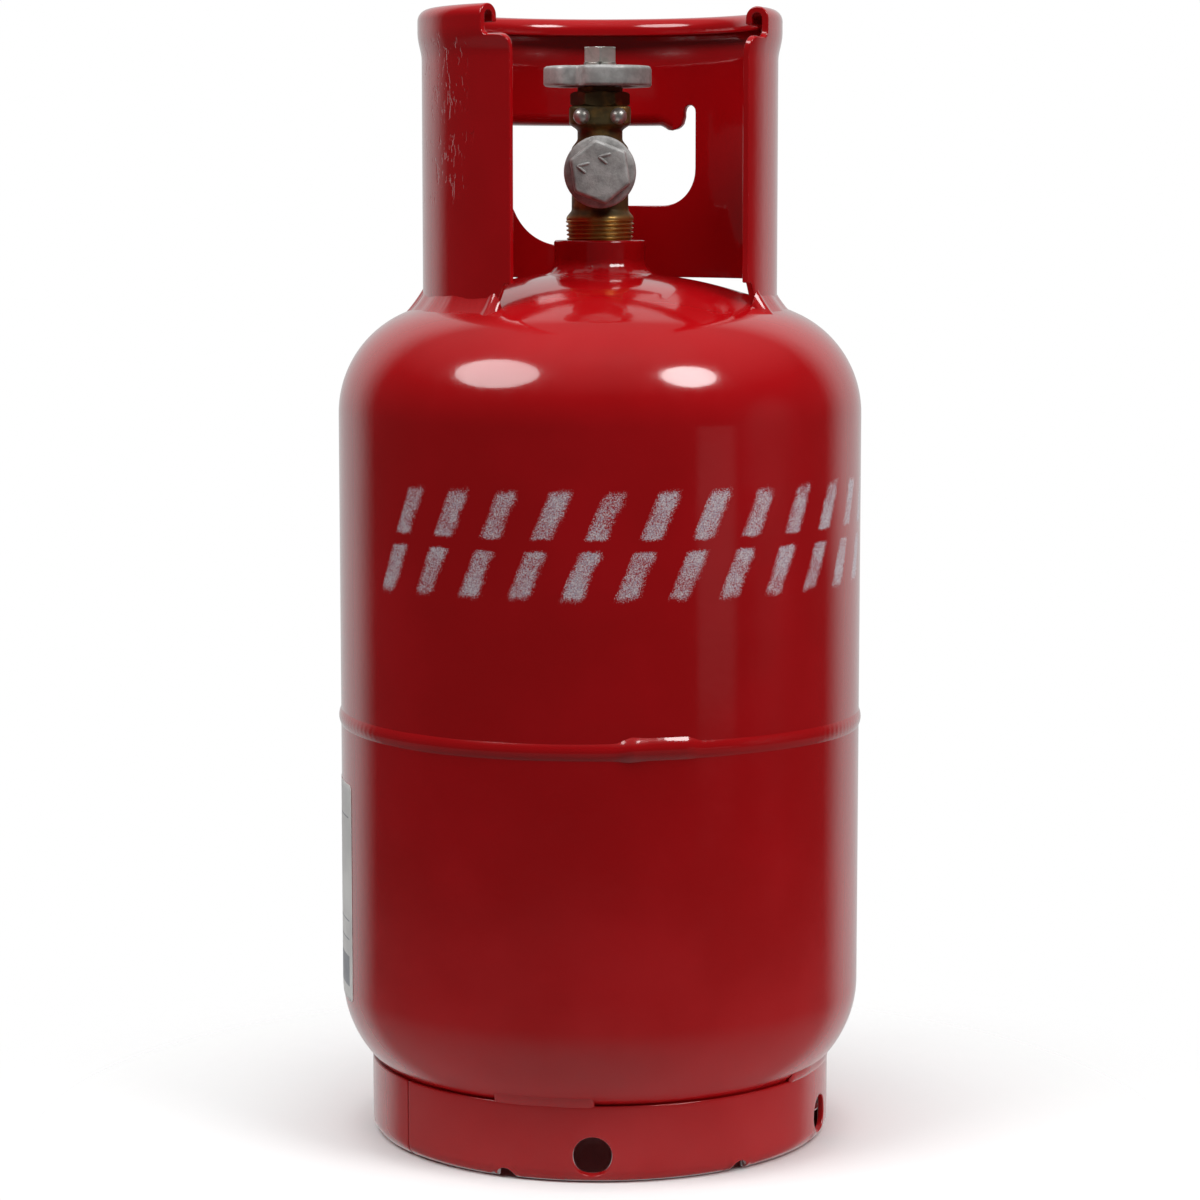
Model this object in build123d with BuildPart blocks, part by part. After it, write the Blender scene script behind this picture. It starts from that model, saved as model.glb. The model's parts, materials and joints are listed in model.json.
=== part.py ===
from build123d import *
from math import asin, atan2, cos, degrees, radians, sin, sqrt
import os

# A twelve litre steel gas cylinder with a handle collar, a foot ring, a handwheel valve and a sealing plug.
# Millimetres. The origin is on the floor at the cylinder's axis, +Z is up and the valve's outlet points
# along -Y. A bearing is an angle about the axis, in degrees, from -Y towards +X.

CUT_MARGIN = 5.0  # how far a cutting shape runs past what it cuts
CUT_ANGLE = 5.0

# ---- pressure shell -------------------------------------------------------------------------------------
BODY_DIA = 222.0
BODY_LENGTH = 363.0  # crown to crown
BODY_WALL = 2.2
KNUCKLE_RADIUS = 46.0
CROWN_RADIUS = 205.0
FLOOR_GAP = 6.0  # lower crown above the floor

# ---- girth seam -----------------------------------------------------------------------------------------
SEAM_HEIGHT = 180.0
SEAM_BEAD_WIDTH = 7.0
SEAM_BEAD_PROUD = 0.9
JOGGLE_RISE = 3.0  # height over which the lower shell steps in
JOGGLE_LAP = 12.0  # length of the stepped-in lip inside the upper shell
JOGGLE_FIT = 0.1
RUN_OUT_BEARING = 12.5  # where the weld run laps its own start
RUN_OUT_SPAN = 15.0
RUN_OUT_WIDTH = 10.4
RUN_OUT_PROUD = 2.5

# ---- neck boss ------------------------------------------------------------------------------------------
BOSS_DIA = 39.0
BOSS_RISE = 13.0  # boss top above the crown
BOSS_INSIDE = 3.0  # boss bottom below the crown's inner face
BOSS_CHAMFER = 0.8
NECK_WELD_LEG = 5.0
NECK_WELD_HOLLOW = 0.9

# ---- handle collar --------------------------------------------------------------------------------------
COLLAR_DIA = 150.0
COLLAR_WALL = 2.8
COLLAR_RISE = 109.0  # collar top above the crown
COLLAR_SKIRT_GAP = 10.0  # panel's lower edge above the head
COLLAR_BEARING = 12.5  # middle of the front opening
OPENING_HALF_ANGLE = 41.5
RIM_HALF_ANGLE = 51.5
TAB_DROP = 12.5  # tab tops below the collar top
TAB_CORNER = 4.0
TAB_ROOT_CORNER = 3.3
RIM_CURL_RADIUS = 5.0
RIM_PROUD = 1.7  # rim outside the panel
RIM_LIP = 2.5  # straight end of the curl
RIM_FLARE_START = 22.0  # below the collar top
RIM_FLARE_END = 12.0
WINDOW_HALF_ANGLE = 47.8
WINDOW_LOW = 81.6  # window's lower edge below the collar top
WINDOW_HIGH = 41.0  # start of the grip lip below the collar top
WINDOW_CORNER = 17.0
WINDOW_DIP_RADIUS = 27.3
WINDOW_DIP_RISE = 9.6  # dip's centre above the window's lower edge
LIP_HALF_ANGLE = 40.5
LIP_RADIUS = 5.5
LIP_FLAT = 0.8
RELIEF_WIDTH = 5.0
RELIEF_RISE = 3.2
FRONT_FOOT = (46.0, 105.0)  # bearings of a side foot's ends, from the opening's middle
BACK_FOOT_HALF_ANGLE = 15.0
COLLAR_WELD_GAP = 0.1
COLLAR_WELD_LEG = 4.5
COLLAR_WELD_CROWN = 0.4
COLLAR_WELD_INSET = 2.0  # weld ends short of each foot's ends, in degrees

# ---- foot ring ------------------------------------------------------------------------------------------
FOOT_INSET = 12.5  # foot ring inside the body's outer face
FOOT_WALL = 2.5
FOOT_BEND_RADIUS = 5.5
FOOT_LANDING = 2.5
FOOT_JOINT_BEARING = -54.8
FOOT_JOINT_GAP = 0.6
VENT_DIA = 16.0
VENT_HEIGHT = 11.5
VENT_BEARINGS = (-1.8, 72.2, 178.2, 252.2)
DRAIN_RADIUS = 4.5
DRAIN_COUNT = 6
DRAIN_FIRST_BEARING = -23.6
FOOT_WELD_LEG = 2.2
FOOT_WELD_DROP = 1.5  # weld's reach down the ring's outer face
FOOT_WELD_CROWN = 0.5
FOOT_WELD_INSET = 0.6  # weld's root from the ring's inner face
FOOT_WELD_SPAN = 25.0
FOOT_WELD_BEARINGS = (-13.7, 66.0, 158.0, 246.0)

# ---- label ----------------------------------------------------------------------------------------------
LABEL_THICKNESS = 0.2
LABEL_LOW = 61.0
LABEL_HIGH = 154.0
LABEL_FIRST_BEARING = -122.0
LABEL_SPAN = 51.7

# ---- valve body -----------------------------------------------------------------------------------------
THREAD_DIA = 28.0  # taper thread at the boss's top
THREAD_TAPER = 0.06  # radius gained per millimetre of height
THREAD_ENGAGED = 20.0
THREAD_SHOWN = 9.0
THREAD_PITCH = 1.814
THREAD_DEPTH = 1.1
THREAD_FIT = 0.05
BARREL_DIA = 24.0
BARREL_TOP = 41.0  # heights above the boss's top
NECK_DIA = 19.0
HEAD_BOTTOM = 48.0
HEAD_HEIGHT = 8.0
HEAD_WIDTH = 26.0
HEAD_DEPTH = 23.0
HEAD_CORNER = 5.0
INLET_DIA = 6.0
CHAMBER_DIA = 13.0
CHAMBER_FLOOR = 20.0
SEAT_DIA = 8.4
SEAT_HEIGHT = 2.0
OUTLET_HEIGHT = 28.4
OUTLET_THREAD_DIA = 21.8
OUTLET_REACH = 29.0  # outlet face from the valve's axis
OUTLET_BORE_DIA = 8.0
OUTLET_CHAMFER = 0.8

# ---- bonnet, pins and seals -----------------------------------------------------------------------------
BONNET_THREAD_DIA = 18.0
BONNET_FIT = 0.05
BONNET_HEX = 22.0
BONNET_HEX_HEIGHT = 6.0
BONNET_COLLAR_DIA = 19.0
BONNET_COLLAR_HEIGHT = 2.0
BONNET_GASKET = 1.0
GASKET_SEAT = 0.2  # gasket's shoulder above the head's underside
PIN_DIA = 2.5
PIN_SPREAD = 15.5
PIN_RISE = 3.7  # pins above the head's underside
PIN_HEAD_DIA = 7.0
PIN_HEAD_HEIGHT = 2.8
PIN_FIT = 0.05
PIN_GROOVE_CLEARANCE = 0.15
RING_SECTION = 1.9
RING_GROOVE_WIDTH = 2.6
RING_RISE = 3.0  # ring's middle above the hexagon's underside
WASHER_HEIGHT = 1.2
SEAL_CLEARANCE = 0.2

# ---- spindle and clack ----------------------------------------------------------------------------------
SPINDLE_DIA = 10.0
SPINDLE_FIT = 0.04
SPINDLE_COLLAR_HEIGHT = 4.0
END_FLOAT = 0.05
DRIVE_ACROSS_FLATS = 8.0
DRIVE_FIT = 0.05
STUD_DIA = 8.0
STUD_RECESS = 0.3
TANG_WIDTH = 5.0
TANG_ENGAGED = 4.8
CLACK_PITCH = 1.5
CLACK_TURNS = 2.25
CLACK_CLEARANCE = 0.6
CLACK_THREAD_LENGTH = 6.8
CLACK_FIT = 0.08
CLACK_STEM_DIA = 9.2
CLACK_CUP_DIA = 10.8
CLACK_CUP_HEIGHT = 5.0
SEAL_DIA = 9.2
SEAL_HEIGHT = 2.8
SEAL_SHOWN = 0.8
FACE_GAP = 0.02

# ---- handwheel ------------------------------------------------------------------------------------------
WHEEL_DIA = 47.0
WHEEL_HEIGHT = 8.6
WHEEL_GAP = 0.4  # wheel above the bonnet
WHEEL_LOBES = 3
WHEEL_SCALLOP_RADIUS = 17.0
WHEEL_SCALLOP_DEPTH = 3.2
WHEEL_FIRST_VALLEY = -31.8
WHEEL_EDGE = 2.0
WHEEL_HUB_DIA = 19.0
WHEEL_RECESS_DIA = 35.0
WHEEL_RECESS_DEPTH = 3.5
SPRING_WASHER_DIA = 13.6
SPRING_WASHER_HEIGHT = 1.2
SPRING_WASHER_SLIT = 1.0
NUT_ACROSS_FLATS = 13.0
NUT_HEIGHT = 6.5
NUT_CHAMFER_RISE = 0.6  # chamfer cone's rise per millimetre of radius
STUD_FIT = 0.05

# ---- outlet plug ----------------------------------------------------------------------------------------
PLUG_FLANGE_DIA = 30.2
PLUG_FLANGE_HEIGHT = 4.0
PLUG_HEX = 24.0
PLUG_HEX_LEAN = 8.6
PLUG_END_WALL = 3.0
PLUG_FIT = 0.06
PLUG_THREAD_LENGTH = 13.0
PLUG_GASKET_HEIGHT = 2.0
PLUG_DISC_HEIGHT = 1.0
PLUG_INSERT_CLEARANCE = 0.15
PLUG_GASKET_BORE = 7.0
PLUG_EDGE = 0.8
ARROW_HEIGHT = 0.4
ARROW_WIDTH = 0.9
ARROW_TIPS = ((-9.3, 2.2), (-0.4, 6.0))  # across and up, from the plug's axis
ARROW_ARMS = ((4.7, 1.3), (3.1, -2.6))

# ---- values worked out from the sizes -------------------------------------------------------------------
body_radius = BODY_DIA / 2
knuckle_centre = body_radius - KNUCKLE_RADIUS
crown_sink = sqrt((CROWN_RADIUS - KNUCKLE_RADIUS) ** 2 - knuckle_centre ** 2)
head_depth = CROWN_RADIUS - crown_sink
lower_tangent = FLOOR_GAP + head_depth
crown_z = FLOOR_GAP + BODY_LENGTH
upper_tangent = crown_z - head_depth
lip_outer_radius = body_radius - BODY_WALL - JOGGLE_FIT
joggle_bottom = SEAM_HEIGHT - JOGGLE_RISE / 2
joggle_top = SEAM_HEIGHT + JOGGLE_RISE / 2

boss_radius = BOSS_DIA / 2
boss_top = crown_z + BOSS_RISE
boss_bottom = crown_z - BODY_WALL - BOSS_INSIDE

collar_radius = COLLAR_DIA / 2
collar_inner = collar_radius - COLLAR_WALL
collar_top = crown_z + COLLAR_RISE
window_low = collar_top - WINDOW_LOW
window_high = collar_top - WINDOW_HIGH
rim_outer = collar_radius + RIM_PROUD
curl_centre = rim_outer - RIM_CURL_RADIUS
curl_z = collar_top - RIM_CURL_RADIUS

foot_radius = body_radius - FOOT_INSET
foot_inner = foot_radius - FOOT_WALL
foot_landing = foot_radius - FOOT_BEND_RADIUS

thread_radius = THREAD_DIA / 2
barrel_bottom = boss_top + THREAD_SHOWN
head_bottom = boss_top + HEAD_BOTTOM
head_top = head_bottom + HEAD_HEIGHT
chamber_floor = boss_top + CHAMBER_FLOOR
seat_z = chamber_floor + SEAT_HEIGHT
outlet_z = boss_top + OUTLET_HEIGHT
gasket_z = head_bottom + GASKET_SEAT
bonnet_bottom = gasket_z + BONNET_GASKET
bonnet_bore_dia = BONNET_THREAD_DIA + 2 * BONNET_FIT
pin_z = head_bottom + PIN_RISE
ring_z = head_top + RING_RISE
bonnet_top = head_top + BONNET_HEX_HEIGHT + BONNET_COLLAR_HEIGHT

spindle_radius = SPINDLE_DIA / 2
washer_bottom = bonnet_bottom - WASHER_HEIGHT
spindle_collar_top = washer_bottom - END_FLOAT
spindle_collar_bottom = spindle_collar_top - SPINDLE_COLLAR_HEIGHT
spindle_collar_dia = CHAMBER_DIA - 2 * SEAL_CLEARANCE
clack_lift = CLACK_PITCH * CLACK_TURNS
clack_top = spindle_collar_bottom - clack_lift - CLACK_CLEARANCE
tang_bottom = clack_top - TANG_ENGAGED
socket_bottom = tang_bottom - clack_lift - CLACK_CLEARANCE
seal_bottom = seat_z + FACE_GAP
cup_bottom = seal_bottom + SEAL_SHOWN
cup_top = cup_bottom + CLACK_CUP_HEIGHT

wheel_bottom = bonnet_top + WHEEL_GAP
wheel_top = wheel_bottom + WHEEL_HEIGHT
nut_bottom = wheel_top + SPRING_WASHER_HEIGHT
stud_top = nut_bottom + NUT_HEIGHT - STUD_RECESS

plug_gasket_end = OUTLET_REACH + PLUG_GASKET_HEIGHT
plug_disc_end = plug_gasket_end + PLUG_DISC_HEIGHT
plug_end = plug_disc_end + PLUG_END_WALL
plug_back = OUTLET_REACH - PLUG_THREAD_LENGTH
plug_bore_dia = OUTLET_THREAD_DIA + 2 * PLUG_FIT
plug_insert_dia = OUTLET_THREAD_DIA - 2 * PLUG_INSERT_CLEARANCE


def radial_plane(bearing):
    """Upright half-plane of a bearing: first axis away from the cylinder's axis, second axis up."""
    turn = radians(bearing)
    return Plane(origin=(0, 0, 0), x_dir=(sin(turn), -cos(turn), 0), z_dir=(-cos(turn), -sin(turn), 0))


def facing_plane(bearing, distance=0.0):
    """Upright plane across a bearing, seen from outside: first axis to the right, second axis up."""
    turn = radians(bearing)
    outward = (sin(turn), -cos(turn), 0)
    place = (outward[0] * distance, outward[1] * distance, 0)
    return Plane(origin=place, x_dir=(cos(turn), sin(turn), 0), z_dir=outward)


def head_rise(radius, inset=0.0):
    """Height of a head's surface above its tangent plane, for the face lying inset below the outside."""
    crown = CROWN_RADIUS - inset
    knuckle = KNUCKLE_RADIUS - inset
    if radius <= knuckle_centre * crown / (CROWN_RADIUS - KNUCKLE_RADIUS):
        return sqrt(crown ** 2 - radius ** 2) - crown_sink
    return sqrt(max(0.0, knuckle ** 2 - (radius - knuckle_centre) ** 2))


def upper_z(radius, inset=0.0):
    """Height of the upper head's surface at a radius."""
    return upper_tangent + head_rise(radius, inset)


def lower_z(radius, inset=0.0):
    """Height of the lower head's surface at a radius."""
    return lower_tangent - head_rise(radius, inset)


def head_arc(height, start, end, inset=0.0):
    """Arc of a head's surface between two radii, where height is upper_z or lower_z."""
    middle = (start + end) / 2
    points = [(radius, height(radius, inset)) for radius in (start, middle, end)]
    ThreePointArc(*points)


def head_line(height, start, inset=0.0):
    """Crown arc and knuckle arc of a head's surface, from a radius out to the tangent plane."""
    blend = knuckle_centre * (CROWN_RADIUS - inset) / (CROWN_RADIUS - KNUCKLE_RADIUS)
    head_arc(height, start, blend, inset)
    head_arc(height, blend, body_radius - inset, inset)


def hexagon_radius(across_flats):
    """Corner radius of a hexagon."""
    return across_flats / sqrt(3)


def taper_radius(z):
    """Radius of the valve's taper thread at a height."""
    return thread_radius + THREAD_TAPER * (z - boss_top)


os.makedirs("parts", exist_ok=True)


# ==== pressure shell =====================================================================================
with BuildPart() as upper_shell:
    with BuildSketch(Plane.XZ):
        with BuildLine():
            head_line(upper_z, boss_radius)
            Polyline(
                (body_radius, upper_tangent),
                (body_radius, joggle_top),
                (body_radius - BODY_WALL, joggle_top),
                (body_radius - BODY_WALL, upper_tangent),
            )
            head_line(upper_z, boss_radius, BODY_WALL)
            Line((boss_radius, upper_z(boss_radius, BODY_WALL)), (boss_radius, upper_z(boss_radius)))
        make_face()
    revolve(axis=Axis.Z)
upper_shell.part.label = "upper_shell"
export_step(upper_shell.part, "parts/upper_shell.step")

with BuildPart() as lower_shell:
    with BuildSketch(Plane.XZ):
        with BuildLine():
            head_line(lower_z, 0.0)
            Polyline(
                (body_radius, lower_tangent),
                (body_radius, joggle_bottom),
                (lip_outer_radius, joggle_top),
                (lip_outer_radius, joggle_top + JOGGLE_LAP),
                (lip_outer_radius - BODY_WALL, joggle_top + JOGGLE_LAP),
                (lip_outer_radius - BODY_WALL, joggle_top),
                (body_radius - BODY_WALL, joggle_bottom),
                (body_radius - BODY_WALL, lower_tangent),
            )
            head_line(lower_z, 0.0, BODY_WALL)
            Line((0, lower_z(0.0, BODY_WALL)), (0, lower_z(0.0)))
        make_face()
    revolve(axis=Axis.Z)
lower_shell.part.label = "lower_shell"
export_step(lower_shell.part, "parts/lower_shell.step")

# The bead fills the groove over the joggle. Where it laps its own start it is wider and stands prouder.
bead_runs = (
    (RUN_OUT_BEARING - RUN_OUT_SPAN / 2, RUN_OUT_SPAN, RUN_OUT_WIDTH, RUN_OUT_PROUD),
    (RUN_OUT_BEARING + RUN_OUT_SPAN / 2, 360 - RUN_OUT_SPAN, SEAM_BEAD_WIDTH, SEAM_BEAD_PROUD),
)
with BuildPart() as seam_weld:
    for run_start, run_span, bead_width, bead_proud in bead_runs:
        bead_low = SEAM_HEIGHT - bead_width / 2
        bead_high = SEAM_HEIGHT + bead_width / 2
        with BuildSketch(radial_plane(run_start)):
            with BuildLine():
                ThreePointArc(
                    (body_radius, bead_low),
                    (body_radius + bead_proud, SEAM_HEIGHT),
                    (body_radius, bead_high),
                )
                Polyline(
                    (body_radius, bead_high),
                    (body_radius, joggle_top),
                    (lip_outer_radius, joggle_top),
                    (body_radius, joggle_bottom),
                    (body_radius, bead_low),
                )
            make_face()
        revolve(axis=Axis.Z, revolution_arc=run_span)
seam_weld.part.label = "seam_weld"
export_step(seam_weld.part, "parts/seam_weld.step")

with BuildPart() as neck_boss:
    with BuildSketch(Plane.XZ):
        Polygon(
            (taper_radius(boss_bottom) + THREAD_FIT, boss_bottom),
            (boss_radius, boss_bottom),
            (boss_radius, boss_top - BOSS_CHAMFER),
            (boss_radius - BOSS_CHAMFER, boss_top),
            (taper_radius(boss_top) + THREAD_FIT, boss_top),
            align=None,
        )
    revolve(axis=Axis.Z)
neck_boss.part.label = "neck_boss"
export_step(neck_boss.part, "parts/neck_boss.step")

with BuildPart() as neck_weld:
    weld_toe = boss_radius + NECK_WELD_LEG
    weld_top = upper_z(boss_radius) + NECK_WELD_LEG
    with BuildSketch(Plane.XZ):
        with BuildLine():
            head_arc(upper_z, boss_radius, weld_toe)
            SagittaArc((weld_toe, upper_z(weld_toe)), (boss_radius, weld_top), NECK_WELD_HOLLOW)
            Line((boss_radius, weld_top), (boss_radius, upper_z(boss_radius)))
        make_face()
    revolve(axis=Axis.Z)
neck_weld.part.label = "neck_weld"
export_step(neck_weld.part, "parts/neck_weld.step")


# ==== handle collar ======================================================================================
foot_bottom_out = upper_z(collar_radius) + COLLAR_WELD_GAP
foot_bottom_in = upper_z(collar_inner) + COLLAR_WELD_GAP
panel_bottom = foot_bottom_out + COLLAR_SKIRT_GAP
curl_inner = RIM_CURL_RADIUS - COLLAR_WALL
tab_z = collar_top - TAB_DROP
opening_half = collar_radius * sin(radians(OPENING_HALF_ANGLE))
rim_half = collar_radius * sin(radians(RIM_HALF_ANGLE))
window_half = collar_radius * sin(radians(WINDOW_HALF_ANGLE))
window_bearing = COLLAR_BEARING + 180
opening_floor = foot_bottom_out - COLLAR_SKIRT_GAP

with BuildPart() as collar:
    # Rolled strip: a plain panel that flares into an inward curl.
    with BuildSketch(Plane.XZ):
        with BuildLine():
            Polyline(
                (collar_radius, foot_bottom_out),
                (collar_radius, collar_top - RIM_FLARE_START),
                (rim_outer, collar_top - RIM_FLARE_END),
                (rim_outer, curl_z),
            )
            ThreePointArc(
                (rim_outer, curl_z),
                (curl_centre, collar_top),
                (curl_centre - RIM_CURL_RADIUS, curl_z),
            )
            Polyline(
                (curl_centre - RIM_CURL_RADIUS, curl_z),
                (curl_centre - RIM_CURL_RADIUS, curl_z - RIM_LIP),
                (curl_centre - curl_inner, curl_z - RIM_LIP),
                (curl_centre - curl_inner, curl_z),
            )
            ThreePointArc(
                (curl_centre - curl_inner, curl_z),
                (curl_centre, curl_z + curl_inner),
                (curl_centre + curl_inner, curl_z),
            )
            Polyline(
                (curl_centre + curl_inner, curl_z),
                (curl_centre + curl_inner, collar_top - RIM_FLARE_END),
                (collar_inner, collar_top - RIM_FLARE_START),
                (collar_inner, foot_bottom_in),
                (collar_radius, foot_bottom_out),
            )
        make_face()
    revolve(axis=Axis.Z)
    # Front opening, wider through the curl than between the panels.
    with BuildSketch(facing_plane(COLLAR_BEARING)) as opening_sketch:
        Polygon(
            (-opening_half, opening_floor),
            (opening_half, opening_floor),
            (opening_half, tab_z),
            (rim_half, tab_z),
            (rim_half, collar_top + CUT_MARGIN),
            (-rim_half, collar_top + CUT_MARGIN),
            (-rim_half, tab_z),
            (-opening_half, tab_z),
            align=None,
        )
        tab_corners = opening_sketch.vertices().filter_by(lambda corner: abs(corner.Y - tab_z) < 0.01)
        fillet(tab_corners.sort_by(Axis.X)[1:3], TAB_CORNER)
        root_corners = opening_sketch.vertices().filter_by(lambda corner: abs(abs(corner.X) - rim_half) < 0.01)
        fillet(root_corners.filter_by(lambda corner: abs(corner.Y - tab_z) < 0.01), TAB_ROOT_CORNER)
    extrude(amount=rim_outer + CUT_MARGIN, mode=Mode.SUBTRACT)
    # Grip window at the back, with a dip in its lower edge and a relief at each upper corner.
    with BuildSketch(facing_plane(window_bearing)) as window_sketch:
        with Locations((0, (window_low + window_high) / 2)):
            Rectangle(2 * window_half, window_high - window_low)
        low_corners = window_sketch.vertices().filter_by(lambda corner: abs(corner.Y - window_low) < 0.01)
        fillet(low_corners, WINDOW_CORNER)
        with Locations((0, window_low + WINDOW_DIP_RISE)):
            Circle(WINDOW_DIP_RADIUS)
        relief_x = window_half - RELIEF_WIDTH / 2
        relief_z = window_high + RELIEF_RISE - RELIEF_WIDTH / 2
        with Locations((-relief_x, relief_z), (relief_x, relief_z)):
            Circle(RELIEF_WIDTH / 2)
        with Locations((-relief_x, relief_z - RELIEF_WIDTH), (relief_x, relief_z - RELIEF_WIDTH)):
            Rectangle(RELIEF_WIDTH, 2 * RELIEF_WIDTH)
    extrude(amount=rim_outer + CUT_MARGIN, mode=Mode.SUBTRACT)
    # Grip lip, bent outwards along the window's upper edge.
    with BuildSketch(radial_plane(window_bearing - LIP_HALF_ANGLE)):
        with BuildLine():
            lip_centre = collar_inner + LIP_RADIUS
            lip_inner = LIP_RADIUS - COLLAR_WALL
            ThreePointArc(
                (collar_inner, window_high),
                (lip_centre - LIP_RADIUS * sqrt(0.5), window_high - LIP_RADIUS * sqrt(0.5)),
                (lip_centre, window_high - LIP_RADIUS),
            )
            Polyline(
                (lip_centre, window_high - LIP_RADIUS),
                (lip_centre + LIP_FLAT, window_high - LIP_RADIUS),
                (lip_centre + LIP_FLAT, window_high - lip_inner),
                (lip_centre, window_high - lip_inner),
            )
            ThreePointArc(
                (lip_centre, window_high - lip_inner),
                (lip_centre - lip_inner * sqrt(0.5), window_high - lip_inner * sqrt(0.5)),
                (collar_radius, window_high),
            )
            Line((collar_radius, window_high), (collar_inner, window_high))
        make_face()
    revolve(axis=Axis.Z, revolution_arc=2 * LIP_HALF_ANGLE)
    # The panel is cut back above the head wherever it has no foot.
    foot_gaps = (
        (OPENING_HALF_ANGLE - CUT_ANGLE, FRONT_FOOT[0]),
        (FRONT_FOOT[1], 180 - BACK_FOOT_HALF_ANGLE),
        (180 + BACK_FOOT_HALF_ANGLE, 360 - FRONT_FOOT[1]),
        (360 - FRONT_FOOT[0], 360 + CUT_ANGLE - OPENING_HALF_ANGLE),
    )
    for gap_start, gap_end in foot_gaps:
        with BuildSketch(radial_plane(COLLAR_BEARING + gap_start)):
            Polygon(
                (collar_inner - CUT_MARGIN, foot_bottom_out - CUT_MARGIN),
                (collar_radius + CUT_MARGIN, foot_bottom_out - CUT_MARGIN),
                (collar_radius + CUT_MARGIN, panel_bottom),
                (collar_inner - CUT_MARGIN, panel_bottom),
                align=None,
            )
        revolve(axis=Axis.Z, revolution_arc=gap_end - gap_start, mode=Mode.SUBTRACT)
collar.part.label = "collar"
export_step(collar.part, "parts/collar.step")

with BuildPart() as collar_welds:
    weld_out = collar_radius + COLLAR_WELD_LEG
    weld_high = foot_bottom_out + COLLAR_WELD_LEG
    foot_spans = (
        FRONT_FOOT,
        (180 - BACK_FOOT_HALF_ANGLE, 180 + BACK_FOOT_HALF_ANGLE),
        (360 - FRONT_FOOT[1], 360 - FRONT_FOOT[0]),
    )
    for span_start, span_end in foot_spans:
        weld_start = COLLAR_BEARING + span_start + COLLAR_WELD_INSET
        with BuildSketch(radial_plane(weld_start)):
            with BuildLine():
                head_arc(upper_z, collar_radius, weld_out)
                SagittaArc((weld_out, upper_z(weld_out)), (collar_radius, weld_high), -COLLAR_WELD_CROWN)
                Line((collar_radius, weld_high), (collar_radius, upper_z(collar_radius)))
            make_face()
        revolve(axis=Axis.Z, revolution_arc=span_end - span_start - 2 * COLLAR_WELD_INSET)
collar_welds.part.label = "collar_welds"
export_step(collar_welds.part, "parts/collar_welds.step")


# ==== foot ring ==========================================================================================
foot_top = lower_z(foot_inner)
bend_inner = FOOT_BEND_RADIUS - FOOT_WALL

with BuildPart() as foot_ring:
    with BuildSketch(Plane.XZ):
        with BuildLine():
            Line((foot_radius, foot_top), (foot_radius, FOOT_BEND_RADIUS))
            ThreePointArc(
                (foot_radius, FOOT_BEND_RADIUS),
                (foot_landing + FOOT_BEND_RADIUS * sqrt(0.5), FOOT_BEND_RADIUS * (1 - sqrt(0.5))),
                (foot_landing, 0),
            )
            Polyline(
                (foot_landing, 0),
                (foot_landing - FOOT_LANDING, 0),
                (foot_landing - FOOT_LANDING, FOOT_WALL),
                (foot_landing, FOOT_WALL),
            )
            ThreePointArc(
                (foot_landing, FOOT_WALL),
                (foot_landing + bend_inner * sqrt(0.5), FOOT_BEND_RADIUS - bend_inner * sqrt(0.5)),
                (foot_inner, FOOT_BEND_RADIUS),
            )
            Polyline((foot_inner, FOOT_BEND_RADIUS), (foot_inner, foot_top), (foot_radius, foot_top))
        make_face()
    revolve(axis=Axis.Z)
    for bearing in VENT_BEARINGS:
        with BuildSketch(facing_plane(bearing)):
            with Locations((0, VENT_HEIGHT)):
                Circle(VENT_DIA / 2)
        extrude(amount=foot_radius + CUT_MARGIN, mode=Mode.SUBTRACT)
    for index in range(DRAIN_COUNT):
        with BuildSketch(facing_plane(DRAIN_FIRST_BEARING + index * 360 / DRAIN_COUNT)):
            Circle(DRAIN_RADIUS)
        extrude(amount=foot_radius + CUT_MARGIN, mode=Mode.SUBTRACT)
    with BuildSketch(facing_plane(FOOT_JOINT_BEARING)):
        with Locations((0, foot_top / 2)):
            Rectangle(FOOT_JOINT_GAP, foot_top + 2 * CUT_MARGIN)
    extrude(amount=foot_radius + CUT_MARGIN, mode=Mode.SUBTRACT)
foot_ring.part.label = "foot_ring"
export_step(foot_ring.part, "parts/foot_ring.step")

with BuildPart() as foot_ring_welds:
    root_radius = foot_inner + FOOT_WELD_INSET
    toe_radius = foot_radius + FOOT_WELD_LEG
    weld_low = foot_top - FOOT_WELD_DROP
    for bearing in FOOT_WELD_BEARINGS:
        with BuildSketch(radial_plane(bearing - FOOT_WELD_SPAN / 2)):
            with BuildLine():
                head_arc(lower_z, root_radius, toe_radius)
                SagittaArc((toe_radius, lower_z(toe_radius)), (foot_radius, weld_low), FOOT_WELD_CROWN)
                Polyline(
                    (foot_radius, weld_low),
                    (foot_radius, foot_top),
                    (root_radius, foot_top),
                    (root_radius, lower_z(root_radius)),
                )
            make_face()
        revolve(axis=Axis.Z, revolution_arc=FOOT_WELD_SPAN)
foot_ring_welds.part.label = "foot_ring_welds"
export_step(foot_ring_welds.part, "parts/foot_ring_welds.step")


# ==== label ==============================================================================================
label_turn = asin(max(0.02, (lower_tangent - LABEL_LOW) / KNUCKLE_RADIUS))  # how far it follows the knuckle


def on_lower_knuckle(radius, turn):
    """Point at this radius round the lower knuckle's centre, this far below the tangent line."""
    return knuckle_centre + radius * cos(turn), lower_tangent - radius * sin(turn)


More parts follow.
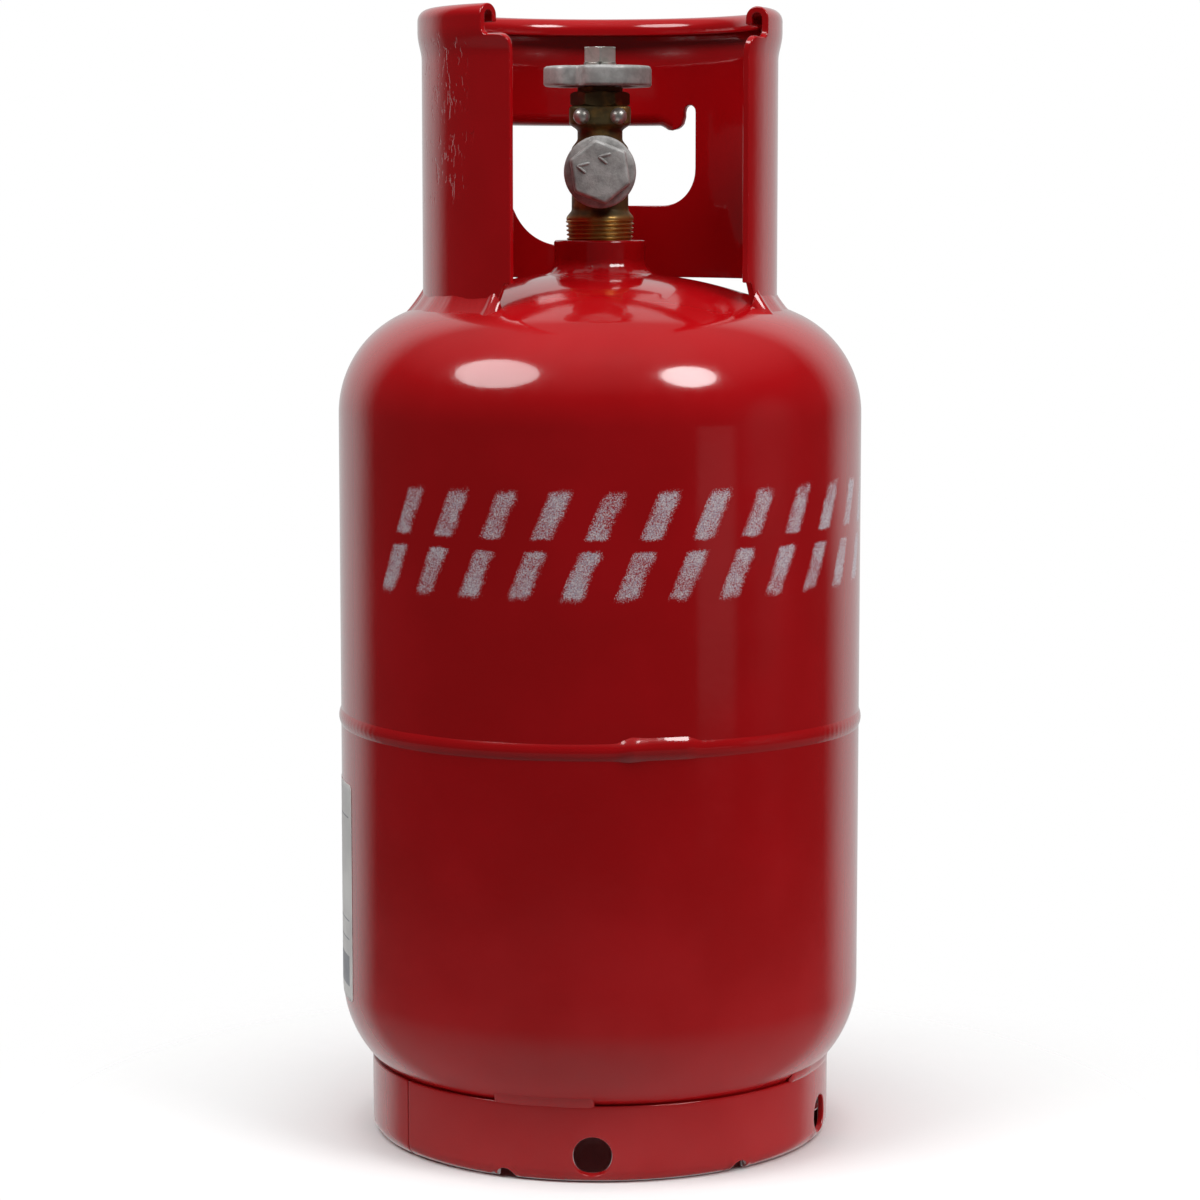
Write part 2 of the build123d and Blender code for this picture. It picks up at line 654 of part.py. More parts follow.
with BuildPart() as label:
    with BuildSketch(radial_plane(LABEL_FIRST_BEARING)):
        with BuildLine():
            back = [on_lower_knuckle(KNUCKLE_RADIUS, step * label_turn / 2) for step in range(3)]
            face = [on_lower_knuckle(KNUCKLE_RADIUS + LABEL_THICKNESS, step * label_turn / 2) for step in range(3)]
            ThreePointArc(*back)
            Line(back[-1], face[-1])
            ThreePointArc(*reversed(face))
            Polyline(face[0], (face[0][0], LABEL_HIGH), (body_radius, LABEL_HIGH), back[0])
        make_face()
    revolve(axis=Axis.Z, revolution_arc=LABEL_SPAN)
label.part.label = "label"
export_step(label.part, "parts/label.step")


# ==== valve body =========================================================================================
with BuildPart() as valve_body:
    # Shank and barrel, with the shown turns of the taper thread as rings.
    with BuildSketch(Plane.XZ):
        with BuildLine():
            shank_bottom = boss_top - THREAD_ENGAGED
            outline = [(0, shank_bottom), (taper_radius(shank_bottom), shank_bottom)]
            turns = int(THREAD_SHOWN / THREAD_PITCH)
            for turn in range(turns):
                crest = boss_top + turn * THREAD_PITCH
                root = crest + THREAD_PITCH / 2
                outline.append((taper_radius(crest), crest))
                outline.append((taper_radius(root) - THREAD_DEPTH, root))
            run_out = boss_top + turns * THREAD_PITCH
            outline.append((taper_radius(run_out), run_out))
            outline.append((BARREL_DIA / 2, barrel_bottom))
            outline.append((BARREL_DIA / 2, boss_top + BARREL_TOP))
            outline.append((NECK_DIA / 2, boss_top + BARREL_TOP + (BARREL_DIA - NECK_DIA) / 2))
            outline.append((NECK_DIA / 2, head_bottom))
            outline.append((NECK_DIA / 2, head_top))
            outline.append((0, head_top))
            Polyline(*outline, close=True)
        make_face()
    revolve(axis=Axis.Z)
    # Block head that takes the bonnet and its two locking pins.
    with BuildSketch(Plane.XY.offset(head_bottom)):
        RectangleRounded(HEAD_WIDTH, HEAD_DEPTH, HEAD_CORNER)
    extrude(amount=HEAD_HEIGHT)
    # Threaded outlet.
    with BuildSketch(facing_plane(0)):
        with Locations((0, outlet_z)):
            Circle(OUTLET_THREAD_DIA / 2)
    extrude(amount=OUTLET_REACH)
    outlet_rim = valve_body.edges().filter_by(GeomType.CIRCLE).group_by(Axis.Y)[0]
    chamfer(outlet_rim, OUTLET_CHAMFER)
    # Chamber, seat, inlet, outlet bore and bonnet bore.
    with BuildSketch(Plane.XY.offset(chamber_floor)):
        Circle(CHAMBER_DIA / 2)
        Circle(SEAT_DIA / 2, mode=Mode.SUBTRACT)
    extrude(amount=SEAT_HEIGHT, mode=Mode.SUBTRACT)
    with BuildSketch(Plane.XY.offset(seat_z)):
        Circle(CHAMBER_DIA / 2)
    extrude(amount=head_top - seat_z, mode=Mode.SUBTRACT)
    with BuildSketch(Plane.XY.offset(shank_bottom)):
        Circle(INLET_DIA / 2)
    extrude(amount=seat_z - shank_bottom, mode=Mode.SUBTRACT)
    with BuildSketch(Plane.XY.offset(gasket_z)):
        Circle(bonnet_bore_dia / 2)
    extrude(amount=head_top - gasket_z, mode=Mode.SUBTRACT)
    with BuildSketch(facing_plane(0)):
        with Locations((0, outlet_z)):
            Circle(OUTLET_BORE_DIA / 2)
    extrude(amount=OUTLET_REACH, mode=Mode.SUBTRACT)
    # Through holes for the locking pins.
    with BuildSketch(facing_plane(0)):
        with Locations((-PIN_SPREAD / 2, pin_z), (PIN_SPREAD / 2, pin_z)):
            Circle(PIN_DIA / 2 + PIN_FIT)
    extrude(amount=HEAD_DEPTH, both=True, mode=Mode.SUBTRACT)
valve_body.part.label = "valve_body"
export_step(valve_body.part, "parts/valve_body.step")

with BuildPart() as bonnet_gasket:
    with BuildSketch(Plane.XY.offset(gasket_z)):
        Circle(BONNET_THREAD_DIA / 2)
        Circle(CHAMBER_DIA / 2, mode=Mode.SUBTRACT)
    extrude(amount=BONNET_GASKET)
bonnet_gasket.part.label = "bonnet_gasket"
export_step(bonnet_gasket.part, "parts/bonnet_gasket.step")

with BuildPart() as bonnet:
    with BuildSketch(Plane.XY.offset(bonnet_bottom)):
        Circle(BONNET_THREAD_DIA / 2)
    extrude(amount=head_top - bonnet_bottom)
    with BuildSketch(Plane.XY.offset(head_top)):
        RegularPolygon(hexagon_radius(BONNET_HEX), 6)
    extrude(amount=BONNET_HEX_HEIGHT)
    with BuildSketch(Plane.XY.offset(head_top + BONNET_HEX_HEIGHT)):
        Circle(BONNET_COLLAR_DIA / 2)
    extrude(amount=BONNET_COLLAR_HEIGHT)
    # Locking groove for the pins, ring groove and spindle bore.
    groove_root = PIN_SPREAD / 2 - PIN_DIA / 2 - PIN_GROOVE_CLEARANCE
    groove_half = PIN_DIA / 2 + PIN_GROOVE_CLEARANCE
    with BuildSketch(Plane.XY.offset(pin_z - groove_half)):
        Circle(BONNET_THREAD_DIA / 2 + CUT_MARGIN)
        Circle(groove_root, mode=Mode.SUBTRACT)
    extrude(amount=2 * groove_half, mode=Mode.SUBTRACT)
    with BuildSketch(Plane.XY.offset(bonnet_bottom)):
        Circle(spindle_radius + SPINDLE_FIT)
    extrude(amount=bonnet_top - bonnet_bottom, mode=Mode.SUBTRACT)
    with BuildSketch(Plane.XY.offset(ring_z - RING_GROOVE_WIDTH / 2)):
        Circle(spindle_radius + SPINDLE_FIT + RING_SECTION)
    extrude(amount=RING_GROOVE_WIDTH, mode=Mode.SUBTRACT)
bonnet.part.label = "bonnet"
export_step(bonnet.part, "parts/bonnet.step")

with BuildPart() as spindle_o_ring:
    with BuildSketch(Plane.XZ):
        with Locations((spindle_radius + SPINDLE_FIT + RING_SECTION / 2, ring_z)):
            Circle(RING_SECTION / 2)
    revolve(axis=Axis.Z)
spindle_o_ring.part.label = "spindle_o_ring"
export_step(spindle_o_ring.part, "parts/spindle_o_ring.step")

with BuildPart() as spindle_washer:
    with BuildSketch(Plane.XY.offset(washer_bottom)):
        Circle(spindle_collar_dia / 2)
        Circle(spindle_radius + SPINDLE_FIT, mode=Mode.SUBTRACT)
    extrude(amount=WASHER_HEIGHT)
spindle_washer.part.label = "spindle_washer"
export_step(spindle_washer.part, "parts/spindle_washer.step")

# Two domed pins pass through the head on either side of the spindle and hold the bonnet by its groove.
with BuildPart() as locking_pins:
    head_back = -HEAD_DEPTH / 2
    head_front = head_back - PIN_HEAD_HEIGHT
    head_radius = PIN_HEAD_DIA / 2
    dome_radius = (head_radius ** 2 + PIN_HEAD_HEIGHT ** 2) / (2 * PIN_HEAD_HEIGHT)
    for side in (-1, 1):
        pin_place = (side * PIN_SPREAD / 2, 0, pin_z)
        with BuildSketch(Plane(origin=pin_place, x_dir=(1, 0, 0), z_dir=(0, 0, 1))):
            with BuildLine():
                RadiusArc((head_radius, head_back), (0, head_front), dome_radius)
                Polyline(
                    (0, head_front),
                    (0, HEAD_DEPTH / 2),
                    (PIN_DIA / 2, HEAD_DEPTH / 2),
                    (PIN_DIA / 2, head_back),
                    (head_radius, head_back),
                )
            make_face()
        revolve(axis=Axis(pin_place, (0, 1, 0)))
locking_pins.part.label = "locking_pins"
export_step(locking_pins.part, "parts/locking_pins.step")


# ==== spindle and clack ==================================================================================
with BuildPart() as spindle:
    with BuildSketch(Plane.XY.offset(spindle_collar_bottom)):
        Circle(spindle_collar_dia / 2)
    extrude(amount=SPINDLE_COLLAR_HEIGHT)
    with BuildSketch(Plane.XY.offset(spindle_collar_top)):
        Circle(spindle_radius)
    extrude(amount=wheel_bottom - spindle_collar_top)
    # Round shaft with four flats that drive the handwheel.
    with BuildSketch(Plane.XY.offset(wheel_bottom)):
        Circle(spindle_radius)
        Rectangle(DRIVE_ACROSS_FLATS, DRIVE_ACROSS_FLATS, mode=Mode.INTERSECT)
    extrude(amount=WHEEL_HEIGHT - END_FLOAT)
    with BuildSketch(Plane.XY.offset(wheel_top - END_FLOAT)):
        Circle(STUD_DIA / 2)
    extrude(amount=stud_top - wheel_top + END_FLOAT)
    # Square tang that turns the clack and lets it climb.
    with BuildSketch(Plane.XY.offset(tang_bottom)):
        Rectangle(TANG_WIDTH, TANG_WIDTH)
    extrude(amount=spindle_collar_bottom - tang_bottom)
spindle.part.label = "spindle"
export_step(spindle.part, "parts/spindle.step")

with BuildPart() as valve_clack:
    with BuildSketch(Plane.XY.offset(cup_bottom)):
        Circle(CLACK_CUP_DIA / 2)
    extrude(amount=CLACK_CUP_HEIGHT)
    with BuildSketch(Plane.XY.offset(cup_top)):
        Circle(CLACK_STEM_DIA / 2)
    extrude(amount=clack_top - cup_top)
    with BuildSketch(Plane.XY.offset(clack_top - CLACK_THREAD_LENGTH)):
        Circle(CHAMBER_DIA / 2 - CLACK_FIT)
    extrude(amount=CLACK_THREAD_LENGTH)
    with BuildSketch(Plane.XY.offset(socket_bottom)):
        Rectangle(TANG_WIDTH + 2 * DRIVE_FIT, TANG_WIDTH + 2 * DRIVE_FIT)
    extrude(amount=clack_top - socket_bottom, mode=Mode.SUBTRACT)
    with BuildSketch(Plane.XY.offset(cup_bottom)):
        Circle(SEAL_DIA / 2)
    extrude(amount=SEAL_HEIGHT - SEAL_SHOWN, mode=Mode.SUBTRACT)
valve_clack.part.label = "valve_clack"
export_step(valve_clack.part, "parts/valve_clack.step")

with BuildPart() as clack_seal:
    with BuildSketch(Plane.XY.offset(seal_bottom)):
        Circle(SEAL_DIA / 2)
    extrude(amount=SEAL_HEIGHT)
clack_seal.part.label = "clack_seal"
export_step(clack_seal.part, "parts/clack_seal.step")


# ==== handwheel ==========================================================================================
with BuildPart() as handwheel:
    with BuildSketch(Plane.XY.offset(wheel_bottom)) as wheel_outline:
        Circle(WHEEL_DIA / 2)
        scallop_distance = WHEEL_DIA / 2 + WHEEL_SCALLOP_RADIUS - WHEEL_SCALLOP_DEPTH
        with PolarLocations(scallop_distance, WHEEL_LOBES, start_angle=WHEEL_FIRST_VALLEY - 90):
            Circle(WHEEL_SCALLOP_RADIUS, mode=Mode.SUBTRACT)
        fillet(wheel_outline.vertices(), WHEEL_SCALLOP_DEPTH)
    extrude(amount=WHEEL_HEIGHT)
    fillet(handwheel.faces().sort_by(Axis.Z)[-1].edges(), WHEEL_EDGE)
    with BuildSketch(Plane.XY.offset(wheel_bottom)):
        Circle(WHEEL_RECESS_DIA / 2)
        Circle(WHEEL_HUB_DIA / 2, mode=Mode.SUBTRACT)
    extrude(amount=WHEEL_RECESS_DEPTH, mode=Mode.SUBTRACT)
    with BuildSketch(Plane.XY.offset(wheel_bottom)):
        Circle(spindle_radius + DRIVE_FIT)
        flats = DRIVE_ACROSS_FLATS + 2 * DRIVE_FIT
        Rectangle(flats, flats, mode=Mode.INTERSECT)
    extrude(amount=WHEEL_HEIGHT, mode=Mode.SUBTRACT)
handwheel.part.label = "handwheel"
export_step(handwheel.part, "parts/handwheel.step")

with BuildPart() as spring_washer:
    with BuildSketch(Plane.XY.offset(wheel_top)):
        Circle(SPRING_WASHER_DIA / 2)
        Circle(STUD_DIA / 2 + STUD_FIT, mode=Mode.SUBTRACT)
        with Locations((SPRING_WASHER_DIA / 2, 0)):
            Rectangle(SPRING_WASHER_DIA, SPRING_WASHER_SLIT, mode=Mode.SUBTRACT)
    extrude(amount=SPRING_WASHER_HEIGHT)
spring_washer.part.label = "spring_washer"
export_step(spring_washer.part, "parts/spring_washer.step")

with BuildPart() as handwheel_nut:
    with BuildSketch(Plane.XY.offset(nut_bottom)):
        RegularPolygon(hexagon_radius(NUT_ACROSS_FLATS), 6, rotation=30)
    extrude(amount=NUT_HEIGHT)
    # Chamfer cone that rounds the hexagon's corners, top and bottom.
    with BuildSketch(Plane.XZ):
        corner = hexagon_radius(NUT_ACROSS_FLATS)
        flat = NUT_ACROSS_FLATS / 2
        slope = (corner - flat) * NUT_CHAMFER_RISE
        Polygon(
            (0, nut_bottom),
            (flat, nut_bottom),
            (corner, nut_bottom + slope),
            (corner, nut_bottom + NUT_HEIGHT - slope),
            (flat, nut_bottom + NUT_HEIGHT),
            (0, nut_bottom + NUT_HEIGHT),
            align=None,
        )
    revolve(axis=Axis.Z, mode=Mode.INTERSECT)
    with BuildSketch(Plane.XY.offset(nut_bottom)):
        Circle(STUD_DIA / 2 + STUD_FIT)
    extrude(amount=NUT_HEIGHT, mode=Mode.SUBTRACT)
handwheel_nut.part.label = "handwheel_nut"
export_step(handwheel_nut.part, "parts/handwheel_nut.step")


# ==== outlet plug ========================================================================================
with BuildPart() as plug_gasket:
    with BuildSketch(facing_plane(0, OUTLET_REACH)):
        with Locations((0, outlet_z)):
            Circle(plug_insert_dia / 2)
            Circle(PLUG_GASKET_BORE / 2, mode=Mode.SUBTRACT)
    extrude(amount=PLUG_GASKET_HEIGHT)
plug_gasket.part.label = "plug_gasket"
export_step(plug_gasket.part, "parts/plug_gasket.step")

with BuildPart() as plug_disc:
    with BuildSketch(facing_plane(0, plug_gasket_end)):
        with Locations((0, outlet_z)):
            Circle(plug_insert_dia / 2)
    extrude(amount=PLUG_DISC_HEIGHT - END_FLOAT)
plug_disc.part.label = "plug_disc"
export_step(plug_disc.part, "parts/plug_disc.step")

with BuildPart() as outlet_plug:
    with BuildSketch(facing_plane(0, plug_back)):
        with Locations((0, outlet_z)):
            Circle(PLUG_FLANGE_DIA / 2)
    extrude(amount=PLUG_FLANGE_HEIGHT)
    chamfer(outlet_plug.edges().filter_by(GeomType.CIRCLE), PLUG_EDGE)
    with BuildSketch(facing_plane(0, plug_back + PLUG_FLANGE_HEIGHT)):
        with Locations((0, outlet_z)):
            RegularPolygon(hexagon_radius(PLUG_HEX), 6, rotation=90 + PLUG_HEX_LEAN)
    extrude(amount=plug_end - plug_back - PLUG_FLANGE_HEIGHT)
    chamfer(outlet_plug.faces().sort_by(Axis.Y)[0].edges(), PLUG_EDGE)
    # Two raised arrowheads show which way the plug unscrews.
    with BuildSketch(facing_plane(0, plug_end)):
        for across, up in ARROW_TIPS:
            tip = (across, outlet_z + up)
            with BuildLine():
                for arm_across, arm_up in ARROW_ARMS:
                    Line(tip, (tip[0] + arm_across, tip[1] + arm_up))
            trace(line_width=ARROW_WIDTH)
    extrude(amount=ARROW_HEIGHT)
    with BuildSketch(facing_plane(0, plug_back)):
        with Locations((0, outlet_z)):
            Circle(plug_bore_dia / 2)
    extrude(amount=plug_disc_end - plug_back, mode=Mode.SUBTRACT)
outlet_plug.part.label = "outlet_plug"
export_step(outlet_plug.part, "parts/outlet_plug.step")
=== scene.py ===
"""Looks of a twelve litre steel gas cylinder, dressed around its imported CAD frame.

Every visible piece is a numpy surface in millimetres, turned to metres as it becomes a mesh. A bearing is an
angle about the cylinder's axis, in degrees, from the front (-Y) towards the right (+X).
"""

from __future__ import annotations

import json
import logging
import math
from dataclasses import dataclass
from enum import Enum
from typing import Any, Sequence

import bpy
import numpy as np
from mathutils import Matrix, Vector

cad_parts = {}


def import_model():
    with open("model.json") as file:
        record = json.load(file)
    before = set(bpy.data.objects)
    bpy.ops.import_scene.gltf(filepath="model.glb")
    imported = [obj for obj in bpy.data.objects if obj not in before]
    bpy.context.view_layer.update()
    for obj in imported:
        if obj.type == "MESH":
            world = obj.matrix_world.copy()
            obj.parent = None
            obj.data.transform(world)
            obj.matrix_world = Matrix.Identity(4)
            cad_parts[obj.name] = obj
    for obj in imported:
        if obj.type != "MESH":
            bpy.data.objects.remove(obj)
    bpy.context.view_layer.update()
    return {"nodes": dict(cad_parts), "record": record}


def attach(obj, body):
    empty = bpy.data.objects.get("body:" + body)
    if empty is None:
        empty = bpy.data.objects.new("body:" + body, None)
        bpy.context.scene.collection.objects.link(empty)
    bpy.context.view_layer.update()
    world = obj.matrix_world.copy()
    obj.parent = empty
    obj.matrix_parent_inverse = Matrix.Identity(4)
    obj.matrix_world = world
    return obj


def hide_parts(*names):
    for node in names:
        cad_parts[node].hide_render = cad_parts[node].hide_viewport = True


log = logging.getLogger("gas_cylinder")
Array = np.ndarray
MM = 0.001
WELD_CREASE = 70.0  # degrees; a bead shades smooth across its ripples


# ---- mesh helpers ---------------------------------------------------------------------------------------
def rounded_path(corners: Sequence[tuple[float, float, float]], closed: bool = True, steps: int = 5) -> Array:
    """Replaces each corner of a polyline by an arc tangent to its two sides.

    The arc's centre lies on the corner's bisector at radius / sin(half the inside angle), and its points are a
    spherical interpolation between the two tangent points.

    Args:
        corners: (x, y, radius) of each corner.
        closed: whether the last corner joins the first; the end corners of an open path stay sharp.
        steps: pieces per arc.

    Returns:
        The path's points, one row each, without repeats.
    """
    given = np.array(corners, float)
    points, radii = given[:, :2], given[:, 2].copy()
    if not closed:
        radii[[0, -1]] = 0.0
    back = np.roll(points, 1, 0) - points
    ahead = np.roll(points, -1, 0) - points
    back /= np.maximum(np.linalg.norm(back, axis=1, keepdims=True), 1e-9)
    ahead /= np.maximum(np.linalg.norm(ahead, axis=1, keepdims=True), 1e-9)
    half = 0.5 * np.arccos(np.clip((back * ahead).sum(1), -0.999999, 0.999999))
    reach = radii / np.tan(half)
    bisector = back + ahead
    bisector /= np.maximum(np.linalg.norm(bisector, axis=1, keepdims=True), 1e-9)
    centre = points + bisector * (radii / np.sin(half))[:, None]
    first = points + back * reach[:, None] - centre
    last = points + ahead * reach[:, None] - centre
    turn = (np.pi - 2 * half)[:, None, None]
    part = np.linspace(0, 1, steps + 1)[None, :, None]
    arcs = np.sin((1 - part) * turn) * first[:, None] + np.sin(part * turn) * last[:, None]
    path = (centre[:, None] + arcs / np.sin(turn)).reshape(-1, 2)
    step = np.linalg.norm(path - np.roll(path, 1, 0), axis=1)
    keep = step > 1e-4
    keep[0] = True
    return path[keep]


def densify(path: Array, longest: float, closed: bool = False) -> Array:
    """Adds points along a path so that no step is longer than a length, keeping all its own points.

    Args:
        path: points, one row each.
        longest: longest step allowed.
        closed: whether to go back to the first point; it isn't repeated in the result.

    Returns:
        The denser path.
    """
    ring = np.vstack([path, path[:1]]) if closed else path
    steps = np.linalg.norm(np.diff(ring, axis=0), axis=1)
    counts = np.maximum(np.ceil(steps / longest), 1).astype(int)
    starts = np.repeat(np.arange(len(steps)), counts)
    offset = np.arange(counts.sum()) - np.repeat(np.cumsum(counts) - counts, counts)
    share = (offset / counts[starts])[:, None]
    dense = ring[starts] * (1 - share) + ring[starts + 1] * share
    return dense if closed else np.vstack([dense, ring[-1:]])


def grid_quads(rows: int, columns: int, wrap_rows: bool = False, wrap_columns: bool = False) -> Array:
    """Quads of a grid of points stored row by row, optionally joined round in either direction.

    Args:
        rows: points down the grid.
        columns: points across it.
        wrap_rows: whether the last row meets the first.
        wrap_columns: whether the last column meets the first.

    Returns:
        Corner indices, one quad a row.
    """
    row = np.arange(rows if wrap_rows else rows - 1)[:, None]
    column = np.arange(columns if wrap_columns else columns - 1)[None, :]
    next_row = (row + 1) % rows
    next_column = (column + 1) % columns
    corners = (
        row * columns + column,
        next_row * columns + column,
        next_row * columns + next_column,
        row * columns + next_column,
    )
    return np.stack([np.broadcast_to(c, (len(row), column.size)) for c in corners], -1).reshape(-1, 4)


def turned(points: Array, quads: Array) -> Array:
    """Flips all quads if the closed surface's signed volume, a sum of triple products, is negative.

    Args:
        points: one row each.
        quads: corner indices of each face.

    Returns:
        The quads, facing outwards.
    """
    a, b, c, d = (points[quads[:, k]] for k in range(4))
    volume = (np.cross(a, b) * c).sum() + (np.cross(a, c) * d).sum()
    return quads[:, ::-1] if volume < 0 else quads


def mesh_piece(name: str, points: Array, quads: Array, crease: float = 40.0) -> bpy.types.Object:
    """Makes an object at the origin from points in millimetres.

    Points closer than a hundredth of a micrometre are merged, which closes seams and poles, and quads that
    lose a corner by it become triangles.

    Args:
        name: the object's name.
        points: one row each, millimetres.
        quads: corner indices of each face.
        crease: angle in degrees past which an edge is shaded sharp.

    Returns:
        The new object, linked to the scene.
    """
    _, index, inverse = np.unique(np.round(points, 5), axis=0, return_index=True, return_inverse=True)
    merged = points[index]
    faces = inverse.reshape(-1)[quads]
    same = faces == np.roll(faces, -1, axis=1)
    whole = faces[~same.any(1)]
    cut = faces[same.sum(1) == 1]
    cut_same = same[same.sum(1) == 1]
    triangles = cut[~cut_same].reshape(-1, 3)
    mesh = bpy.data.meshes.new(name)
    mesh.from_pydata((merged * MM).tolist(), [], whole.tolist() + triangles.tolist())
    mesh.polygons.foreach_set("use_smooth", np.ones(len(mesh.polygons), bool))
    mesh.update()
    mesh.set_sharp_from_angle(angle=math.radians(crease))
    piece = bpy.data.objects.new(name, mesh)
    bpy.context.scene.collection.objects.link(piece)
    return piece


def joined(parts: Sequence[tuple[Array, Array]]) -> tuple[Array, Array]:
    """Puts several (points, quads) surfaces into one pair of arrays.

    Args:
        parts: the surfaces.

    Returns:
        Points and quads.
    """
    starts = np.cumsum([0] + [len(points) for points, _ in parts[:-1]])
    quads = [faces + start for start, (_, faces) in zip(starts, parts)]
    return np.vstack([points for points, _ in parts]), np.vstack(quads)


def lathe(profile: Array, segments: int) -> tuple[Array, Array]:
    """Turns a closed (radius, height) profile about +Z: x = r cos a, y = r sin a, z = height.

    Args:
        profile: closed outline, or an open one that starts and ends on the axis.
        segments: steps round the axis.

    Returns:
        Points and outward quads.
    """
    angle = np.linspace(0, 2 * np.pi, segments, endpoint=False)[:, None]
    points = circle(angle, profile[None, :, 0], profile[None, :, 1]).reshape(-1, 3)
    wraps = abs(profile[0, 0]) > 1e-6
    quads = grid_quads(segments, len(profile), wrap_rows=True, wrap_columns=wraps)
    return points, turned(points, quads)


def thicken(middle: Array, quads: Array, thickness: float, edge: float, steps: int = 3) -> tuple[Array, Array]:
    """Gives an open sheet a thickness and round edges.

    Each point moves half the thickness along its normal to both sides. Along every free edge a strip is added
    whose section is two quarter circles of the edge radius, so that it bulges out of the sheet by that radius.

    Args:
        middle: points of the sheet's middle surface.
        quads: its faces, all facing the same side.
        thickness: wall.
        edge: radius of the rounded edges, at most half the wall.
        steps: pieces per quarter circle.

    Returns:
        Points and outward quads of the closed sheet.
    """
    a, b, c, d = (middle[quads[:, k]] for k in range(4))
    face_normal = np.cross(c - a, d - b)
    normal = np.zeros_like(middle)
    for k in range(4):
        np.add.at(normal, quads[:, k], face_normal)
    normal /= np.maximum(np.linalg.norm(normal, axis=1, keepdims=True), 1e-12)
    starts = quads.ravel()
    ends = np.roll(quads, -1, axis=1).ravel()
    owner = np.repeat(np.arange(len(quads)), 4)
    low, high = np.minimum(starts, ends), np.maximum(starts, ends)
    _, first, count = np.unique(low * len(middle) + high, return_index=True, return_counts=True)
    free = first[count == 1]
    start, end = starts[free], ends[free]
    centre = (a + b + c + d)[owner[free]] / 4
    along = middle[end] - middle[start]
    along /= np.maximum(np.linalg.norm(along, axis=1, keepdims=True), 1e-12)
    away = (middle[start] + middle[end]) / 2 - centre
    away -= along * (away * along).sum(1, keepdims=True)
    away /= np.maximum(np.linalg.norm(away, axis=1, keepdims=True), 1e-12)
    outward = np.zeros_like(middle)
    np.add.at(outward, start, away)
    np.add.at(outward, end, away)
    outward -= normal * (outward * normal).sum(1, keepdims=True)
    length = np.linalg.norm(outward, axis=1, keepdims=True)
    outward /= np.maximum(length, 1e-12)
    rim = np.unique(np.concatenate([start, end]))
    slot = np.full(len(middle), -1)
    slot[rim] = np.arange(len(rim))
    turn = np.linspace(0, np.pi / 2, steps + 1)
    bulge = edge * np.concatenate([np.sin(turn), np.cos(turn)])
    lift = (thickness / 2 - edge) + edge * np.cos(turn)
    lift = np.concatenate([lift, -lift[::-1]])
    layers = middle[rim] + outward[rim] * bulge[:, None, None] + normal[rim] * lift[:, None, None]
    total = len(middle)
    half = normal * thickness / 2
    points = np.vstack([middle + half, middle - half, layers.reshape(-1, 3)])
    faces = [quads, quads[:, ::-1] + total]
    base = 2 * total
    for k in range(len(bulge) - 1):
        upper = base + k * len(rim)
        lower = upper + len(rim)
        strip = (slot[end] + upper, slot[start] + upper, slot[start] + lower, slot[end] + lower)
        faces.append(np.stack(strip, -1))
    return points, turned(points, np.vstack(faces))


def smooth_step(value: Array, low: float, high: float) -> Array:
    """0 below low, 1 above high and 3t^2 - 2t^3 between them."""
    t = np.clip((value - low) / (high - low), 0, 1)
    return t * t * (3 - 2 * t)


def soft_min(a: Array, b: Array, blend: float) -> Array:
    """Smaller of two values, with their crossing rounded over the blend width by a parabola."""
    h = np.clip(0.5 + (b - a) / (2 * blend), 0, 1)
    return b * (1 - h) + a * h - blend * h * (1 - h)


def bump(value: Array, centre: float, width: float) -> Array:
    """Bell of height 1 and half-width width: exp(-((value - centre) / width)^2)."""
    return np.exp(-(((value - centre) / width) ** 2))


def hexagon(angle: Array, across_flats: float, corner: float) -> Array:
    """Radius of a hexagon with rounded corners at an angle, corners at 0, 60, 120 degrees and so on.

    A side is across_flats / 2 / cos(angle from its middle). Near a corner the radius is held under the corner
    circle by a soft minimum.

    Args:
        angle: angles in radians.
        across_flats: width over two flats.
        corner: the corners' radius.

    Returns:
        The radius at each angle.
    """
    off = (angle + np.pi / 6) % (np.pi / 3) - np.pi / 6
    side = across_flats / 2 / np.cos(np.pi / 6 - np.abs(off))
    tip = across_flats / 2 / np.cos(np.pi / 6) - corner * 0.155
    return soft_min(side, np.full_like(side, tip), corner * 0.3)


def around(bearing: Array, radius: Array, height: Array) -> Array:
    """Points at bearings (degrees), radii and heights: x = r sin b, y = -r cos b, z = height."""
    turn = np.radians(bearing)
    return np.stack([radius * np.sin(turn), -radius * np.cos(turn), height + 0 * turn], -1)


def circle(angle: Array, radius: float | Array, height: float | Array) -> Array:
    """Points at angles (radians), radii and heights: x = r cos a, y = r sin a, z = height."""
    return np.stack([radius * np.cos(angle), radius * np.sin(angle), height + 0 * angle], -1)


def chamfered_hexagon(angle: Array, up: Array, across_flats: float, corner: float, height: float, land: float,
                      blend: float) -> Array:
    """Radius of a hexagon whose two ends are cut by 30 degree cones, which draws the arcs on its flats.

    Args:
        angle: angles in radians, one row each.
        up: heights above its lower end.
        across_flats: width over two flats.
        corner: radius of its upright edges.
        height: length between its ends.
        land: how far past the flats the cones start.
        blend: width of the rounding between flats and cones.

    Returns:
        The smaller of the rounded hexagon's radius and the cones', one row per angle.
    """
    cone = across_flats / 2 + land + np.minimum(up, height - up) / math.tan(math.radians(30))
    six = hexagon(angle, across_flats, corner)
    return soft_min(six + 0 * up, cone + 0 * six, blend)


